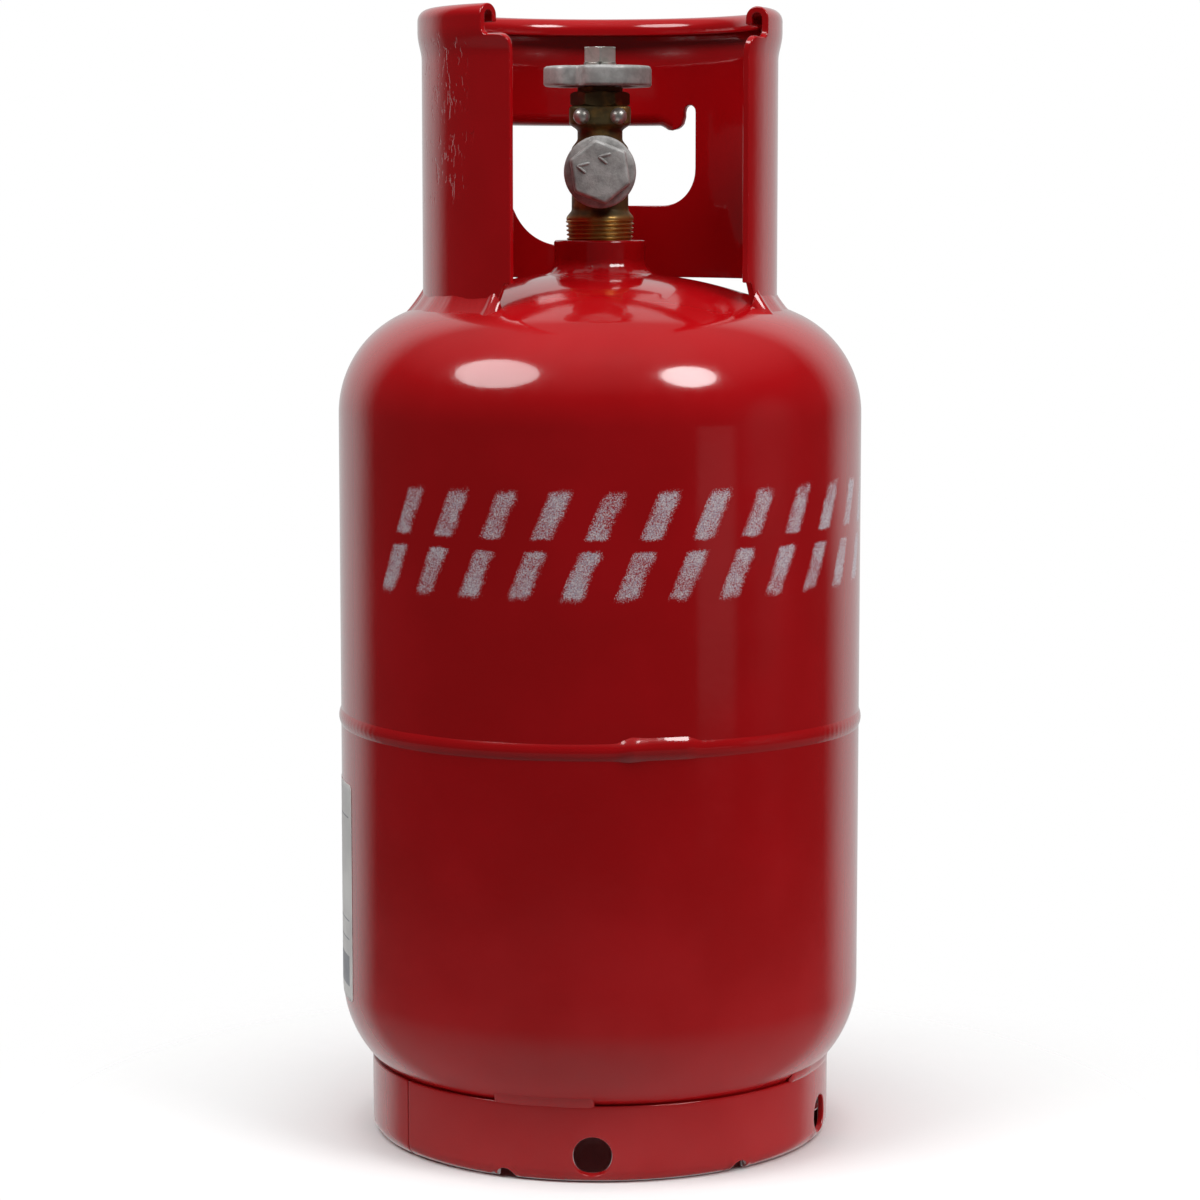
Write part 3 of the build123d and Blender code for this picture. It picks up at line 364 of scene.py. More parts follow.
def bead(outer: Array, root: Array, pinched: bool = False) -> tuple[Array, Array]:
    """Closes a weld bead with a line of points sunk under its face.

    Args:
        outer: the face's points, a row for each section along the run.
        root: one sunk point for each section.
        pinched: whether the run has two ends, each drawn to its section's mean point, or goes right round.

    Returns:
        Points and outward quads.
    """
    grid = np.concatenate([outer, root], axis=1)
    if pinched:
        for end in (0, -1):
            grid[end] = grid[end].mean(0)
    points = grid.reshape(-1, 3)
    quads = grid_quads(grid.shape[0], grid.shape[1], wrap_rows=not pinched, wrap_columns=True)
    return points, turned(points, quads)


def even_normals(piece: bpy.types.Object) -> None:
    """Weights a sheet's normals by face area, so that its narrow round edges don't shade its flats.

    Args:
        piece: the new object.
    """
    weighted = piece.modifiers.new("even_normals", "WEIGHTED_NORMAL")
    weighted.weight = 100
    weighted.keep_sharp = True


# ---- material helpers -----------------------------------------------------------------------------------
SMOOTH = {"interpolation_type": "SMOOTHSTEP"}
COLOURS = {"data_type": "RGBA", "out": 2}


def linear(code: str) -> tuple[float, float, float, float]:
    """Linear colour of an sRGB hex code such as "b01c1c".

    Args:
        code: six hex digits.

    Returns:
        Red, green, blue and alpha.
    """
    parts = [int(code[k:k + 2], 16) / 255 for k in (0, 2, 4)]
    red, green, blue = (p / 12.92 if p <= 0.04045 else ((p + 0.055) / 1.055) ** 2.4 for p in parts)
    return red, green, blue, 1.0


def per_metre(size_mm: float) -> float:
    """Texture scale whose largest features are this many millimetres across."""
    return 1000 / size_mm


def add(tree: bpy.types.NodeTree, kind: str, inputs: dict[Any, Any] | None = None, out: int | str = 0,
        **settings: Any) -> Any:
    """Adds a node with its settings and links.

    Args:
        tree: the node tree.
        kind: the node's type without the leading "ShaderNode".
        inputs: socket name or number to a value, or to an output socket to link from.
        out: name or number of the output to return.
        settings: properties set on the node.

    Returns:
        That output socket, or the node itself if it has none.
    """
    made = tree.nodes.new("ShaderNode" + kind)
    for key, value in settings.items():
        setattr(made, key, value)
    for key, value in (inputs or {}).items():
        if isinstance(value, bpy.types.NodeSocket):
            tree.links.new(value, made.inputs[key])
        else:
            made.inputs[key].default_value = value
    return made.outputs[out] if made.outputs else made


def new_material(name: str) -> tuple[bpy.types.Material, bpy.types.NodeTree, Any]:
    """Empty node material, its tree and the Object coordinates in it.

    Args:
        name: the material's name.

    Returns:
        The material, its tree and the coordinates.
    """
    material = bpy.data.materials.new(name)
    material.use_nodes = True
    tree = material.node_tree
    tree.nodes.clear()
    return material, tree, add(tree, "TexCoord", out="Object")


def cylinder_frame(tree: bpy.types.NodeTree, place: Any) -> tuple[Any, Any]:
    """Bearing in radians, from the front towards the right, and height of the shaded point.

    Args:
        tree: the node tree.
        place: Object coordinates.

    Returns:
        Sockets of the bearing and the height.
    """
    x, y, height = add(tree, "SeparateXYZ", {0: place}).node.outputs
    ahead = add(tree, "Math", {0: y, 1: -1.0}, operation="MULTIPLY")
    return add(tree, "Math", {0: x, 1: ahead}, operation="ARCTAN2"), height


def all_of(tree: bpy.types.NodeTree, *masks: Any) -> Any:
    """Product of several masks.

    Args:
        tree: the node tree.
        masks: sockets or plain factors.

    Returns:
        The product's socket.
    """
    whole = masks[0]
    for mask in masks[1:]:
        whole = add(tree, "Math", {0: whole, 1: mask}, operation="MULTIPLY")
    return whole


def within(tree: bpy.types.NodeTree, value: Any, low: float, high: float, soft: float) -> Any:
    """Mask that is 1 between two limits and fades to 0 over the soft width outside each of them.

    Args:
        tree: the node tree.
        value: the socket to test.
        low: lower limit.
        high: upper limit.
        soft: width of each fade.

    Returns:
        The mask's socket.
    """
    rising = add(tree, "MapRange", {0: value, 1: low - soft, 2: low}, **SMOOTH)
    falling = add(tree, "MapRange", {0: value, 1: high + soft, 2: high}, **SMOOTH)
    return all_of(tree, rising, falling)


def between(tree: bpy.types.NodeTree, value: Any, low: float, high: float) -> Any:
    """Mask that is 1 between two limits and 0 outside them, with hard edges."""
    above = add(tree, "Math", {0: value, 1: low}, operation="GREATER_THAN")
    return all_of(tree, above, add(tree, "Math", {0: value, 1: high}, operation="LESS_THAN"))


# ---- finishes -------------------------------------------------------------------------------------------
@dataclass(frozen=True)
class StencilRow:
    """A row of slanted warning bars sprayed through a card, in metres."""

    radius: float = 0.111
    pitch: float = 0.02185
    bar: float = 0.0098
    low: float = 0.2405
    high: float = 0.2845
    start: float = -0.095
    end: float = 0.166
    slant: float = 0.42
    bleed: float = 0.003
    inner_bleed: float = 0.0028
    tip: float = 0.001

    def mask(self, tree: bpy.types.NodeTree, bearing: Any, height: Any, place: Any) -> Any:
        """Builds the paint's cover.

        The arc length is bearing times radius, sheared by the height. A bar covers the first part of each
        pitch, and a bridge cuts it at its middle. The edges are soft, and the paint lies in drops, fewer of
        which meet where the spray is thin.

        Args:
            tree: the node tree.
            bearing: bearing in radians.
            height: height in metres.
            place: Object coordinates.

        Returns:
            A socket from 0, bare, to 1, covered.
        """
        noise = add(tree, "TexNoise", {"Vector": place, "Scale": per_metre(4)})
        ragged = add(tree, "MapRange", {0: noise, 1: 0.2, 2: 0.8, 3: -0.0005, 4: 0.0005}, **SMOOTH)
        rise = add(tree, "Math", {0: height, 1: (self.low + self.high) / 2}, operation="SUBTRACT")
        arc = add(tree, "Math", {0: bearing, 1: self.radius}, operation="MULTIPLY")
        lean = add(tree, "Math", {0: rise, 1: -self.slant, 2: arc}, operation="MULTIPLY_ADD")
        from_start = add(tree, "Math", {0: lean, 1: self.start}, operation="SUBTRACT")
        inside = add(tree, "Math", {0: from_start, 1: self.pitch}, operation="FLOORED_MODULO")
        off_middle = add(tree, "Math", {0: inside, 1: self.bar / 2}, operation="SUBTRACT")
        aside = add(tree, "Math", {0: off_middle}, operation="ABSOLUTE")
        aside = add(tree, "Math", {0: aside, 1: ragged}, operation="ADD")
        up = add(tree, "Math", {0: rise}, operation="ABSOLUTE")
        up = add(tree, "Math", {0: up, 1: ragged}, operation="ADD")
        half, reach = self.bar / 2, (self.high - self.low) / 2
        across = add(tree, "MapRange", {0: aside, 1: half + self.bleed, 2: half - self.inner_bleed}, **SMOOTH)
        along = add(tree, "MapRange", {0: up, 1: reach + self.bleed, 2: reach - self.bleed}, **SMOOTH)
        bridge = add(tree, "MapRange", {0: up, 1: 0.0008, 2: 0.0034}, **SMOOTH)
        after = add(tree, "MapRange", {0: from_start, 1: -self.tip, 2: self.tip}, **SMOOTH)
        before = add(tree, "MapRange", {0: lean, 1: self.end, 2: self.end - 2 * self.tip}, **SMOOTH)
        card = all_of(tree, across, along, bridge, after, before)
        fine = add(tree, "TexNoise", {"Vector": place, "Scale": per_metre(0.45), "Detail": 1.0,
                                      "Roughness": 0.85})
        drops = add(tree, "MapRange", {0: fine, 1: 0.25, 2: 0.75}, **SMOOTH)
        coarse = add(tree, "TexNoise", {"Vector": place, "Scale": per_metre(12)})
        thick = add(tree, "MapRange", {0: coarse, 1: 0.28, 2: 0.68, 3: -0.26, 4: 0.08}, **SMOOTH)
        density = add(tree, "Math", {0: card, 1: 1.25, 2: -1.15}, operation="MULTIPLY_ADD")
        density = add(tree, "Math", {0: density, 1: thick}, operation="ADD")
        density = add(tree, "Math", {0: density, 1: drops}, operation="ADD")
        return add(tree, "MapRange", {0: density, 2: 0.75, 4: 0.95}, **SMOOTH)


@dataclass(frozen=True)
class ClampScuffs:
    """Short upright tool marks that a clamp left on the left panel, in degrees and metres."""

    first: float = -72.0
    last: float = -54.0
    first_fade: float = 8.0
    last_fade: float = 10.0
    band_fade: float = 0.006
    bands: tuple[tuple[float, float], ...] = ((0.404, 0.421), (0.436, 0.462))

    def depth(self, tree: bpy.types.NodeTree, bearing: Any, height: Any, place: Any) -> Any:
        """Builds the marks' depth.

        A noise about three times as tall as it is wide is cut off low, which leaves sparse strokes. They are
        kept in a stretch of bearings and in two height bands, wavered by a coarse noise.

        Args:
            tree: the node tree.
            bearing: bearing in radians.
            height: height in metres.
            place: Object coordinates.

        Returns:
            A socket from 0, whole, to -1, struck.
        """
        tall = add(tree, "Mapping", {"Vector": place, "Scale": (1.0, 1.0, 0.34)})
        noise = add(tree, "TexNoise", {"Vector": tall, "Scale": per_metre(2.2), "Roughness": 0.6})
        strokes = add(tree, "MapRange", {0: noise, 1: 0.42, 2: 0.34, 4: -1.0}, **SMOOTH)
        coarse = add(tree, "TexNoise", {"Vector": place, "Scale": per_metre(14)})
        waver = add(tree, "Math", {0: coarse, 1: 0.5, 2: -0.25}, operation="MULTIPLY_ADD")
        side = add(tree, "Math", {0: bearing, 1: waver}, operation="ADD")
        left, right = math.radians(self.first), math.radians(self.last)
        begun = add(tree, "MapRange", {0: side, 1: left - math.radians(self.first_fade), 2: left}, **SMOOTH)
        ended = add(tree, "MapRange", {0: side, 1: right + math.radians(self.last_fade), 2: right}, **SMOOTH)
        level = add(tree, "Math", {0: waver, 1: 0.04, 2: height}, operation="MULTIPLY_ADD")
        lower, upper = (within(tree, level, low, high, self.band_fade) for low, high in self.bands)
        either = add(tree, "Math", {0: lower, 1: upper}, operation="MAXIMUM")
        return all_of(tree, strokes, begun, ended, either)


@dataclass(frozen=True)
class RedEnamel:
    """Sprayed alkyd enamel over steel: a deep, wet-looking red with a fine orange peel."""

    name: str = "red_alkyd_enamel"
    colour: str = "a90a11"
    deep: str = "a0080d"
    # pinkish tint mixed in patches into the enamel, more of it towards the floor
    low_tint: str = "b4534f"
    gloss: float = 0.11
    peel_mm: float = 4.0
    stencil: StencilRow | None = None
    scuffs: ClampScuffs | None = None

    def material(self) -> bpy.types.Material:
        """Builds the enamel, with the stencil or the scuffs where it has them.

        Returns:
            The material.
        """
        material, tree, place = new_material(self.name)
        bearing, height = cylinder_frame(tree, place)
        cloud = add(tree, "TexNoise", {"Vector": place, "Scale": per_metre(60), "Detail": 3.0})
        tone = add(tree, "MapRange", {0: cloud, 1: 0.35, 2: 0.68}, **SMOOTH)
        colour = add(tree, "Mix", {0: tone, 6: linear(self.deep), 7: linear(self.colour)}, **COLOURS)
        # Paler towards the floor: a pinkish tint that grows downwards in patches, and a little sheen lost in
        # the same patches.
        low = add(tree, "MapRange", {0: height, 1: 0.17, 2: 0.02}, **SMOOTH)
        patch = add(tree, "TexNoise", {"Vector": place, "Scale": per_metre(30), "Roughness": 0.4})
        film = all_of(tree, low, add(tree, "MapRange", {0: patch, 1: 0.2, 2: 0.8, 3: 0.3}, **SMOOTH))
        colour = add(tree, "Mix", {0: all_of(tree, film, 0.07), 6: colour, 7: linear(self.low_tint)}, **COLOURS)
        worn = add(tree, "TexNoise", {"Vector": place, "Scale": per_metre(9), "Detail": 4.0})
        worn = add(tree, "MapRange", {0: worn, 1: 0.3, 2: 0.8, 3: self.gloss, 4: self.gloss + 0.05}, **SMOOTH)
        roughness = add(tree, "Math", {0: film, 1: 0.12, 2: worn}, operation="MULTIPLY_ADD")
        if self.stencil:
            cover = self.stencil.mask(tree, bearing, height, place)
            noise = add(tree, "TexNoise", {"Vector": place, "Scale": per_metre(0.7)})
            drop = add(tree, "MapRange", {0: noise, 1: 0.35, 2: 0.65}, **SMOOTH)
            spray = add(tree, "Mix", {0: drop, 6: linear("aa9fae"), 7: linear("ddd8dc")}, **COLOURS)
            colour = add(tree, "Mix", {0: cover, 6: colour, 7: spray}, **COLOURS)
            chalky = all_of(tree, cover, 0.62)
            roughness = add(tree, "Math", {0: roughness, 1: chalky}, operation="MAXIMUM")
        # Orange peel, plus a long wave that makes reflections waver a little.
        peel = add(tree, "TexNoise", {"Vector": place, "Scale": per_metre(self.peel_mm), "Detail": 1.0})
        wave = add(tree, "TexNoise", {"Vector": place, "Scale": per_metre(45), "Detail": 1.0})
        normal = add(tree, "Bump", {"Strength": 0.035, "Distance": 0.001, "Height": peel})
        normal = add(tree, "Bump", {"Strength": 0.06, "Distance": 0.004, "Height": wave, "Normal": normal})
        sockets = {"Base Color": colour, "Roughness": roughness, "IOR": 1.5, "Coat Weight": 0.6,
                   "Coat Roughness": 0.04, "Coat IOR": 1.5}
        if self.scuffs:
            marks = self.scuffs.depth(tree, bearing, height, place)
            normal = add(tree, "Bump", {"Strength": 0.24, "Distance": 0.0012, "Height": marks,
                                        "Normal": normal})
            sockets["Coat Normal"] = normal
        shader = add(tree, "BsdfPrincipled", {**sockets, "Normal": normal})
        add(tree, "OutputMaterial", {"Surface": shader})
        return material


@dataclass(frozen=True)
class ForgedBrass:
    """Hot-stamped brass: a dull olive skin, rubbed bright and golden on the turned thread below it."""

    name: str = "stamped_brass"
    bright: str = "c89c55"
    dull: str = "5d5131"
    thread_top: float = 0.3912

    def material(self) -> bpy.types.Material:
        """Builds the brass: patina sets colour, metal and roughness, turning rings and pits the relief.

        Returns:
            The material.
        """
        material, tree, place = new_material(self.name)
        height = cylinder_frame(tree, place)[1]
        above, below = self.thread_top + 0.002, self.thread_top - 0.001
        rubbed = add(tree, "MapRange", {0: height, 1: above, 2: below}, **SMOOTH)
        blotch = add(tree, "TexNoise", {"Vector": place, "Scale": per_metre(7), "Detail": 3.0})
        skin = add(tree, "MapRange", {0: blotch, 1: 0.2, 2: 0.55, 3: 0.35}, **SMOOTH)
        patina = add(tree, "Math", {0: rubbed, 1: -0.75, 2: skin}, operation="MULTIPLY_ADD")
        colour = add(tree, "Mix", {0: patina, 6: linear(self.bright), 7: linear(self.dull)}, **COLOURS)
        metal = add(tree, "MapRange", {0: patina, 3: 0.85, 4: 0.45}, **SMOOTH)
        roughness = add(tree, "MapRange", {0: patina, 3: 0.3, 4: 0.5}, **SMOOTH)
        pits = add(tree, "TexNoise", {"Vector": place, "Scale": per_metre(0.7), "Detail": 3.0})
        rings = add(tree, "TexWave", {"Vector": place, "Scale": 120.0, "Distortion": 1.0, "Detail": 1.0},
                    out="Fac", bands_direction="Z")
        relief = add(tree, "Math", {0: rings, 1: 0.35, 2: pits}, operation="MULTIPLY_ADD")
        normal = add(tree, "Bump", {"Strength": 0.16, "Distance": 0.0004, "Height": relief})
        shader = add(tree, "BsdfPrincipled", {"Base Color": colour, "Metallic": metal, "Roughness": roughness,
                                              "Normal": normal})
        add(tree, "OutputMaterial", {"Surface": shader})
        return material


@dataclass(frozen=True)
class CastMetal:
    """Pressure cast light alloy, left as cast: grey, satin, blotched and finely pitted."""

    name: str = "cast_aluminium"
    light: str = "bdbdbb"
    dark: str = "979795"
    rough: float = 0.42
    relief: float = 0.25
    metallic: float = 0.38

    def material(self) -> bpy.types.Material:
        """Builds the casting skin: blotches set colour and roughness, fine pits and soft dents the relief.

        Returns:
            The material.
        """
        material, tree, place = new_material(self.name)
        noise = add(tree, "TexNoise", {"Vector": place, "Scale": per_metre(6), "Detail": 4.0,
                                       "Roughness": 0.65})
        blotch = add(tree, "MapRange", {0: noise, 1: 0.3, 2: 0.7}, **SMOOTH)
        colour = add(tree, "Mix", {0: blotch, 6: linear(self.light), 7: linear(self.dark)}, **COLOURS)
        roughness = add(tree, "MapRange", {0: blotch, 3: self.rough, 4: self.rough + 0.12}, **SMOOTH)
        pits = add(tree, "TexNoise", {"Vector": place, "Scale": per_metre(0.9), "Detail": 4.0,
                                      "Roughness": 0.7})
        dents = add(tree, "TexNoise", {"Vector": place, "Scale": per_metre(5)})
        uneven = add(tree, "Math", {0: dents, 1: 0.8, 2: pits}, operation="MULTIPLY_ADD")
        normal = add(tree, "Bump", {"Strength": self.relief, "Distance": 0.0005, "Height": uneven})
        shader = add(tree, "BsdfPrincipled", {"Base Color": colour, "Metallic": self.metallic,
                                              "Roughness": roughness, "Normal": normal})
        add(tree, "OutputMaterial", {"Surface": shader})
        return material


@dataclass(frozen=True)
class ZincPlate:
    """Bright zinc over turned steel: pale, faintly warm, softly clouded where the plating was handled."""

    name: str = "zinc_plated_steel"
    light: str = "cfcdc8"
    dark: str = "a5a49c"

    def material(self) -> bpy.types.Material:
        """Builds the plating: one cloud sets colour and roughness, a fine noise the relief.

        Returns:
            The material.
        """
        material, tree, place = new_material(self.name)
        noise = add(tree, "TexNoise", {"Vector": place, "Scale": per_metre(4), "Detail": 3.0})
        cloud = add(tree, "MapRange", {0: noise, 1: 0.3, 2: 0.7}, **SMOOTH)
        colour = add(tree, "Mix", {0: cloud, 6: linear(self.light), 7: linear(self.dark)}, **COLOURS)
        roughness = add(tree, "MapRange", {0: noise, 1: 0.3, 2: 0.7, 3: 0.3, 4: 0.42}, **SMOOTH)
        fine = add(tree, "TexNoise", {"Vector": place, "Scale": per_metre(1.2)})
        normal = add(tree, "Bump", {"Strength": 0.06, "Distance": 0.0002, "Height": fine})
        shader = add(tree, "BsdfPrincipled", {"Base Color": colour, "Metallic": 0.75, "Roughness": roughness,
                                              "Normal": normal})
        add(tree, "OutputMaterial", {"Surface": shader})
        return material


@dataclass(frozen=True)
class MouldedSeal:
    """Moulded rubber or nylon for seals: plain, slightly mottled, matte."""

    name: str
    colour: str
    rough: float

    def material(self) -> bpy.types.Material:
        """Builds the seal material: a slight mottle, and a fine mould texture.

        Returns:
            The material.
        """
        material, tree, place = new_material(self.name)
        noise = add(tree, "TexNoise", {"Vector": place, "Scale": per_metre(3), "Detail": 3.0})
        cloud = add(tree, "MapRange", {0: noise, 1: 0.3, 2: 0.7}, **SMOOTH)
        lighter = (*(min(1.0, channel * 1.3 + 0.004) for channel in linear(self.colour)[:3]), 1.0)
        colour = add(tree, "Mix", {0: cloud, 6: linear(self.colour), 7: lighter}, **COLOURS)
        fine = add(tree, "TexNoise", {"Vector": place, "Scale": per_metre(0.6)})
        normal = add(tree, "Bump", {"Strength": 0.1, "Distance": 0.0002, "Height": fine})
        shader = add(tree, "BsdfPrincipled", {"Base Color": colour, "Roughness": self.rough, "IOR": 1.52,
                                              "Normal": normal})
        add(tree, "OutputMaterial", {"Surface": shader})
        return material


@dataclass(frozen=True)
class LabelFilm:
    """Printed vinyl: off-white film with a grey band and plain ruled lines, slightly glossy."""

    name: str = "white_vinyl_film"
    paper: str = "dedcd8"
    shade: str = "cfcdcb"
    ink: str = "84858c"
    margin: float = 0.005
    top_line: float = 0.0146
    line: float = 0.0006
    fields: tuple[tuple[float, float], ...] = ((0.006, 0.019), (0.026, 0.0266), (0.034, 0.0346))

    def material(self, low: float, high: float, first: float, last: float,
                 radius: float) -> bpy.types.Material:
        """Builds the film and its print: a band over the lower edge, two lines over it, one under the top.

        Args:
            low: height of the label's lower edge, millimetres.
            high: height of its upper edge.
            first: bearing of its left edge, degrees.
            last: bearing of its right edge.
            radius: the body's radius, millimetres.

        Returns:
            The material.
        """
        material, tree, place = new_material(self.name)
        bearing, z = cylinder_frame(tree, place)
        reach = radius * MM
        behind = -math.radians(first) * reach
        arc = add(tree, "Math", {0: bearing, 1: reach, 2: behind}, operation="MULTIPLY_ADD")
        rise = add(tree, "Math", {0: z, 1: low * MM}, operation="SUBTRACT")
        width, height = math.radians(last - first) * reach, (high - low) * MM
        under_top = (height - self.top_line, height - self.top_line + self.line)
        inked: Any = 0.0
        for bottom, top in (*self.fields, under_top):
            ruled = between(tree, rise, bottom, top)
            inked = add(tree, "Math", {0: inked, 1: ruled}, operation="MAXIMUM")
        inked = all_of(tree, inked, between(tree, arc, self.margin, width - self.margin))
        noise = add(tree, "TexNoise", {"Vector": place, "Scale": per_metre(20), "Detail": 3.0})
        cloud = add(tree, "MapRange", {0: noise, 1: 0.3, 2: 0.7}, **SMOOTH)
        film = add(tree, "Mix", {0: cloud, 6: linear(self.paper), 7: linear(self.shade)}, **COLOURS)
        colour = add(tree, "Mix", {0: inked, 6: film, 7: linear(self.ink)}, **COLOURS)
        roughness = add(tree, "MapRange", {0: cloud, 3: 0.3, 4: 0.4}, **SMOOTH)
        wave = add(tree, "TexNoise", {"Vector": place, "Scale": per_metre(12)})
        normal = add(tree, "Bump", {"Strength": 0.05, "Distance": 0.0005, "Height": wave})
        shader = add(tree, "BsdfPrincipled", {"Base Color": colour, "Roughness": roughness, "IOR": 1.54,
                                              "Normal": normal})
        add(tree, "OutputMaterial", {"Surface": shader})
        return material


def dress(piece: bpy.types.Object, material: bpy.types.Material) -> None:
    """Gives a piece one material."""
    piece.data.materials.clear()
    piece.data.materials.append(material)


def settle(piece: bpy.types.Object, material: bpy.types.Material, body: str, slot: str, *nodes: str) -> None:
    """Dresses a new piece, makes it ride on a body and stand for CAD nodes, and reports it.

    Args:
        piece: the new object.
        material: its material.
        body: the rigid body that it rides on.
        slot: the record's material slot; not used.
        nodes: the CAD nodes that it stands for.
    """
    dress(piece, material)
    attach(piece, body)
    if nodes:
        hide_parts(*nodes)
    log.info("%s: %d faces on %s", piece.name, len(piece.data.polygons), body)


class Body(Enum):
    """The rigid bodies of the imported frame."""

    TANK = "tank"
    WHEEL = "wheel_and_spindle"
    PLUG = "plug"


# ---- pressure shell -------------------------------------------------------------------------------------
@dataclass
class PressureShell:
    """The two deep-drawn halves and the girth weld between them."""

    radius: float = 111.0
    wall: float = 2.2
    length: float = 363.0
    floor_gap: float = 6.0
    knuckle: float = 46.0
    crown: float = 205.0
    seam: float = 180.0
    bead_width: float = 7.0
    bead_proud: float = 0.85
    hole_radius: float = 19.5
    joint_gap: float = 0.2
    segments: int = 320

    def __post_init__(self) -> None:
        """Works out the head's depth and the tangent planes."""
        self.knuckle_centre = self.radius - self.knuckle
        self.crown_sink = math.sqrt((self.crown - self.knuckle) ** 2 - self.knuckle_centre ** 2)
        self.depth = self.crown - self.crown_sink
        self.low_tangent = self.floor_gap + self.depth
        self.crown_z = self.floor_gap + self.length
        self.high_tangent = self.crown_z - self.depth

    def rise(self, radius: Array, inset: float = 0.0) -> Array:
        """Height of a head above its tangent plane: the crown's circle inside, the knuckle's circle outside.

        Args:
            radius: distances from the axis.
            inset: how far inside the outer face.

        Returns:
            Heights above the tangent plane.
        """
        radius = np.asarray(radius, float)
        crown, knuckle = self.crown - inset, self.knuckle - inset
        on_crown = np.sqrt(np.maximum(crown ** 2 - radius ** 2, 0)) - self.crown_sink
        on_knuckle = np.sqrt(np.maximum(knuckle ** 2 - (radius - self.knuckle_centre) ** 2, 0))
        blend = self.knuckle_centre * crown / (self.crown - self.knuckle)
        return np.where(radius <= blend, on_crown, on_knuckle)

    def top(self, radius: Array) -> Array:
        """Height of the upper head's outside."""
        return self.high_tangent + self.rise(radius)

    def head(self, first: float, inset: float) -> Array:
        """(radius, rise) points of a head from a radius out to the tangent, evenly stepped by angle.

        Args:
            first: radius to start at.
            inset: how far inside the outer face.

        Returns:
            Points, one row each.
        """
        knuckle, crown = self.knuckle - inset, self.crown - inset
        blend = self.knuckle_centre * crown / (self.crown - self.knuckle)
        swing = np.linspace(math.asin(first / crown), math.asin(blend / crown), 24)
        on_crown = np.stack([crown * np.sin(swing), crown * np.cos(swing) - self.crown_sink], 1)
        turn = np.linspace(math.asin((blend - self.knuckle_centre) / knuckle), math.pi / 2, 28)
        on_knuckle = np.stack([self.knuckle_centre + knuckle * np.sin(turn), knuckle * np.cos(turn)], 1)
        return np.vstack([on_crown, on_knuckle[1:]])

    def build_half(self, upper: bool) -> bpy.types.Object:
        """Lathes one half: its outside, the edge at the seam and its inside.

        Args:
            upper: whether it is the upper half.

        Returns:
            The new object.
        """
        sign, tangent = (1, self.high_tangent) if upper else (-1, self.low_tangent)
        hole = self.hole_radius if upper else 0.0
        seam = self.seam + sign * self.joint_gap
        outside = self.head(hole, 0.0)
        inside = self.head(hole, self.wall)[::-1]
        for part in (outside, inside):
            part[:, 1] = tangent + sign * part[:, 1]
        edge = np.array([[self.radius, seam], [self.radius - self.wall, seam]])
        skirt = densify(np.vstack([outside[-1:], edge, inside[:1]]), 12.0)
        profile = np.vstack([outside, skirt[1:-1], inside])
        points, quads = lathe(profile, self.segments)
        return mesh_piece("upper_shell_skin" if upper else "lower_shell_skin", points, quads)

    def build_seam(self) -> bpy.types.Object:
        """Sweeps the weld bead round the body.

        The bead's section is a parabola, proud = height * (1 - t^2), on a base sunk under the shell's face.
        Its height and width wander by slow sines, ripple by a fine sine along the run, and swell into a lump
        where the run laps its own start.

        Returns:
            The new object.
        """
        bearing = np.linspace(-180, 180, 1440, endpoint=False)[:, None]
        across = np.linspace(-1, 1, 13)[None, :]
        lap = smooth_step(bearing, 3, 7) * (1 - smooth_step(bearing, 18, 22))
        head = bump(bearing, 6.0, 2.6)
        wander = 0.12 * np.sin(np.radians(7 * bearing)) + 0.08 * np.sin(np.radians(17 * bearing + 40))
        ripple = 0.016 * (1 + wander) * np.sin(np.radians(bearing * 170 + 90 * wander) - 1.6 * np.abs(across))
        proud = self.bead_proud * (1 + 0.25 * wander) + 0.75 * lap + 0.75 * head
        half = self.bead_width / 2 * (1 + 0.1 * wander) + 1.1 * lap + 0.5 * head
        centre = self.seam + 0.35 * np.sin(np.radians(3 * bearing)) + 0.9 * lap
        radius = self.radius + (proud + ripple) * (1 - across ** 2) - 0.05 * np.abs(across)
        height = centre + half * across
        outer = around(bearing, radius, height)
        base = around(bearing, np.full_like(bearing, self.radius - 0.6), self.seam + 0 * bearing)
        return mesh_piece("seam_bead", *bead(outer, base), WELD_CREASE)

    def build(self, paint: bpy.types.Material, stencilled: bpy.types.Material) -> None:
        """Builds and dresses the shells and the seam.

        Args:
            paint: the enamel.
            stencilled: the enamel with its row of bars.
        """
        settle(self.build_half(True), stencilled, Body.TANK.value, "red_paint", "upper_shell")
        settle(self.build_half(False), paint, Body.TANK.value, "red_paint", "lower_shell")
        settle(self.build_seam(), paint, Body.TANK.value, "red_paint", "seam_weld")


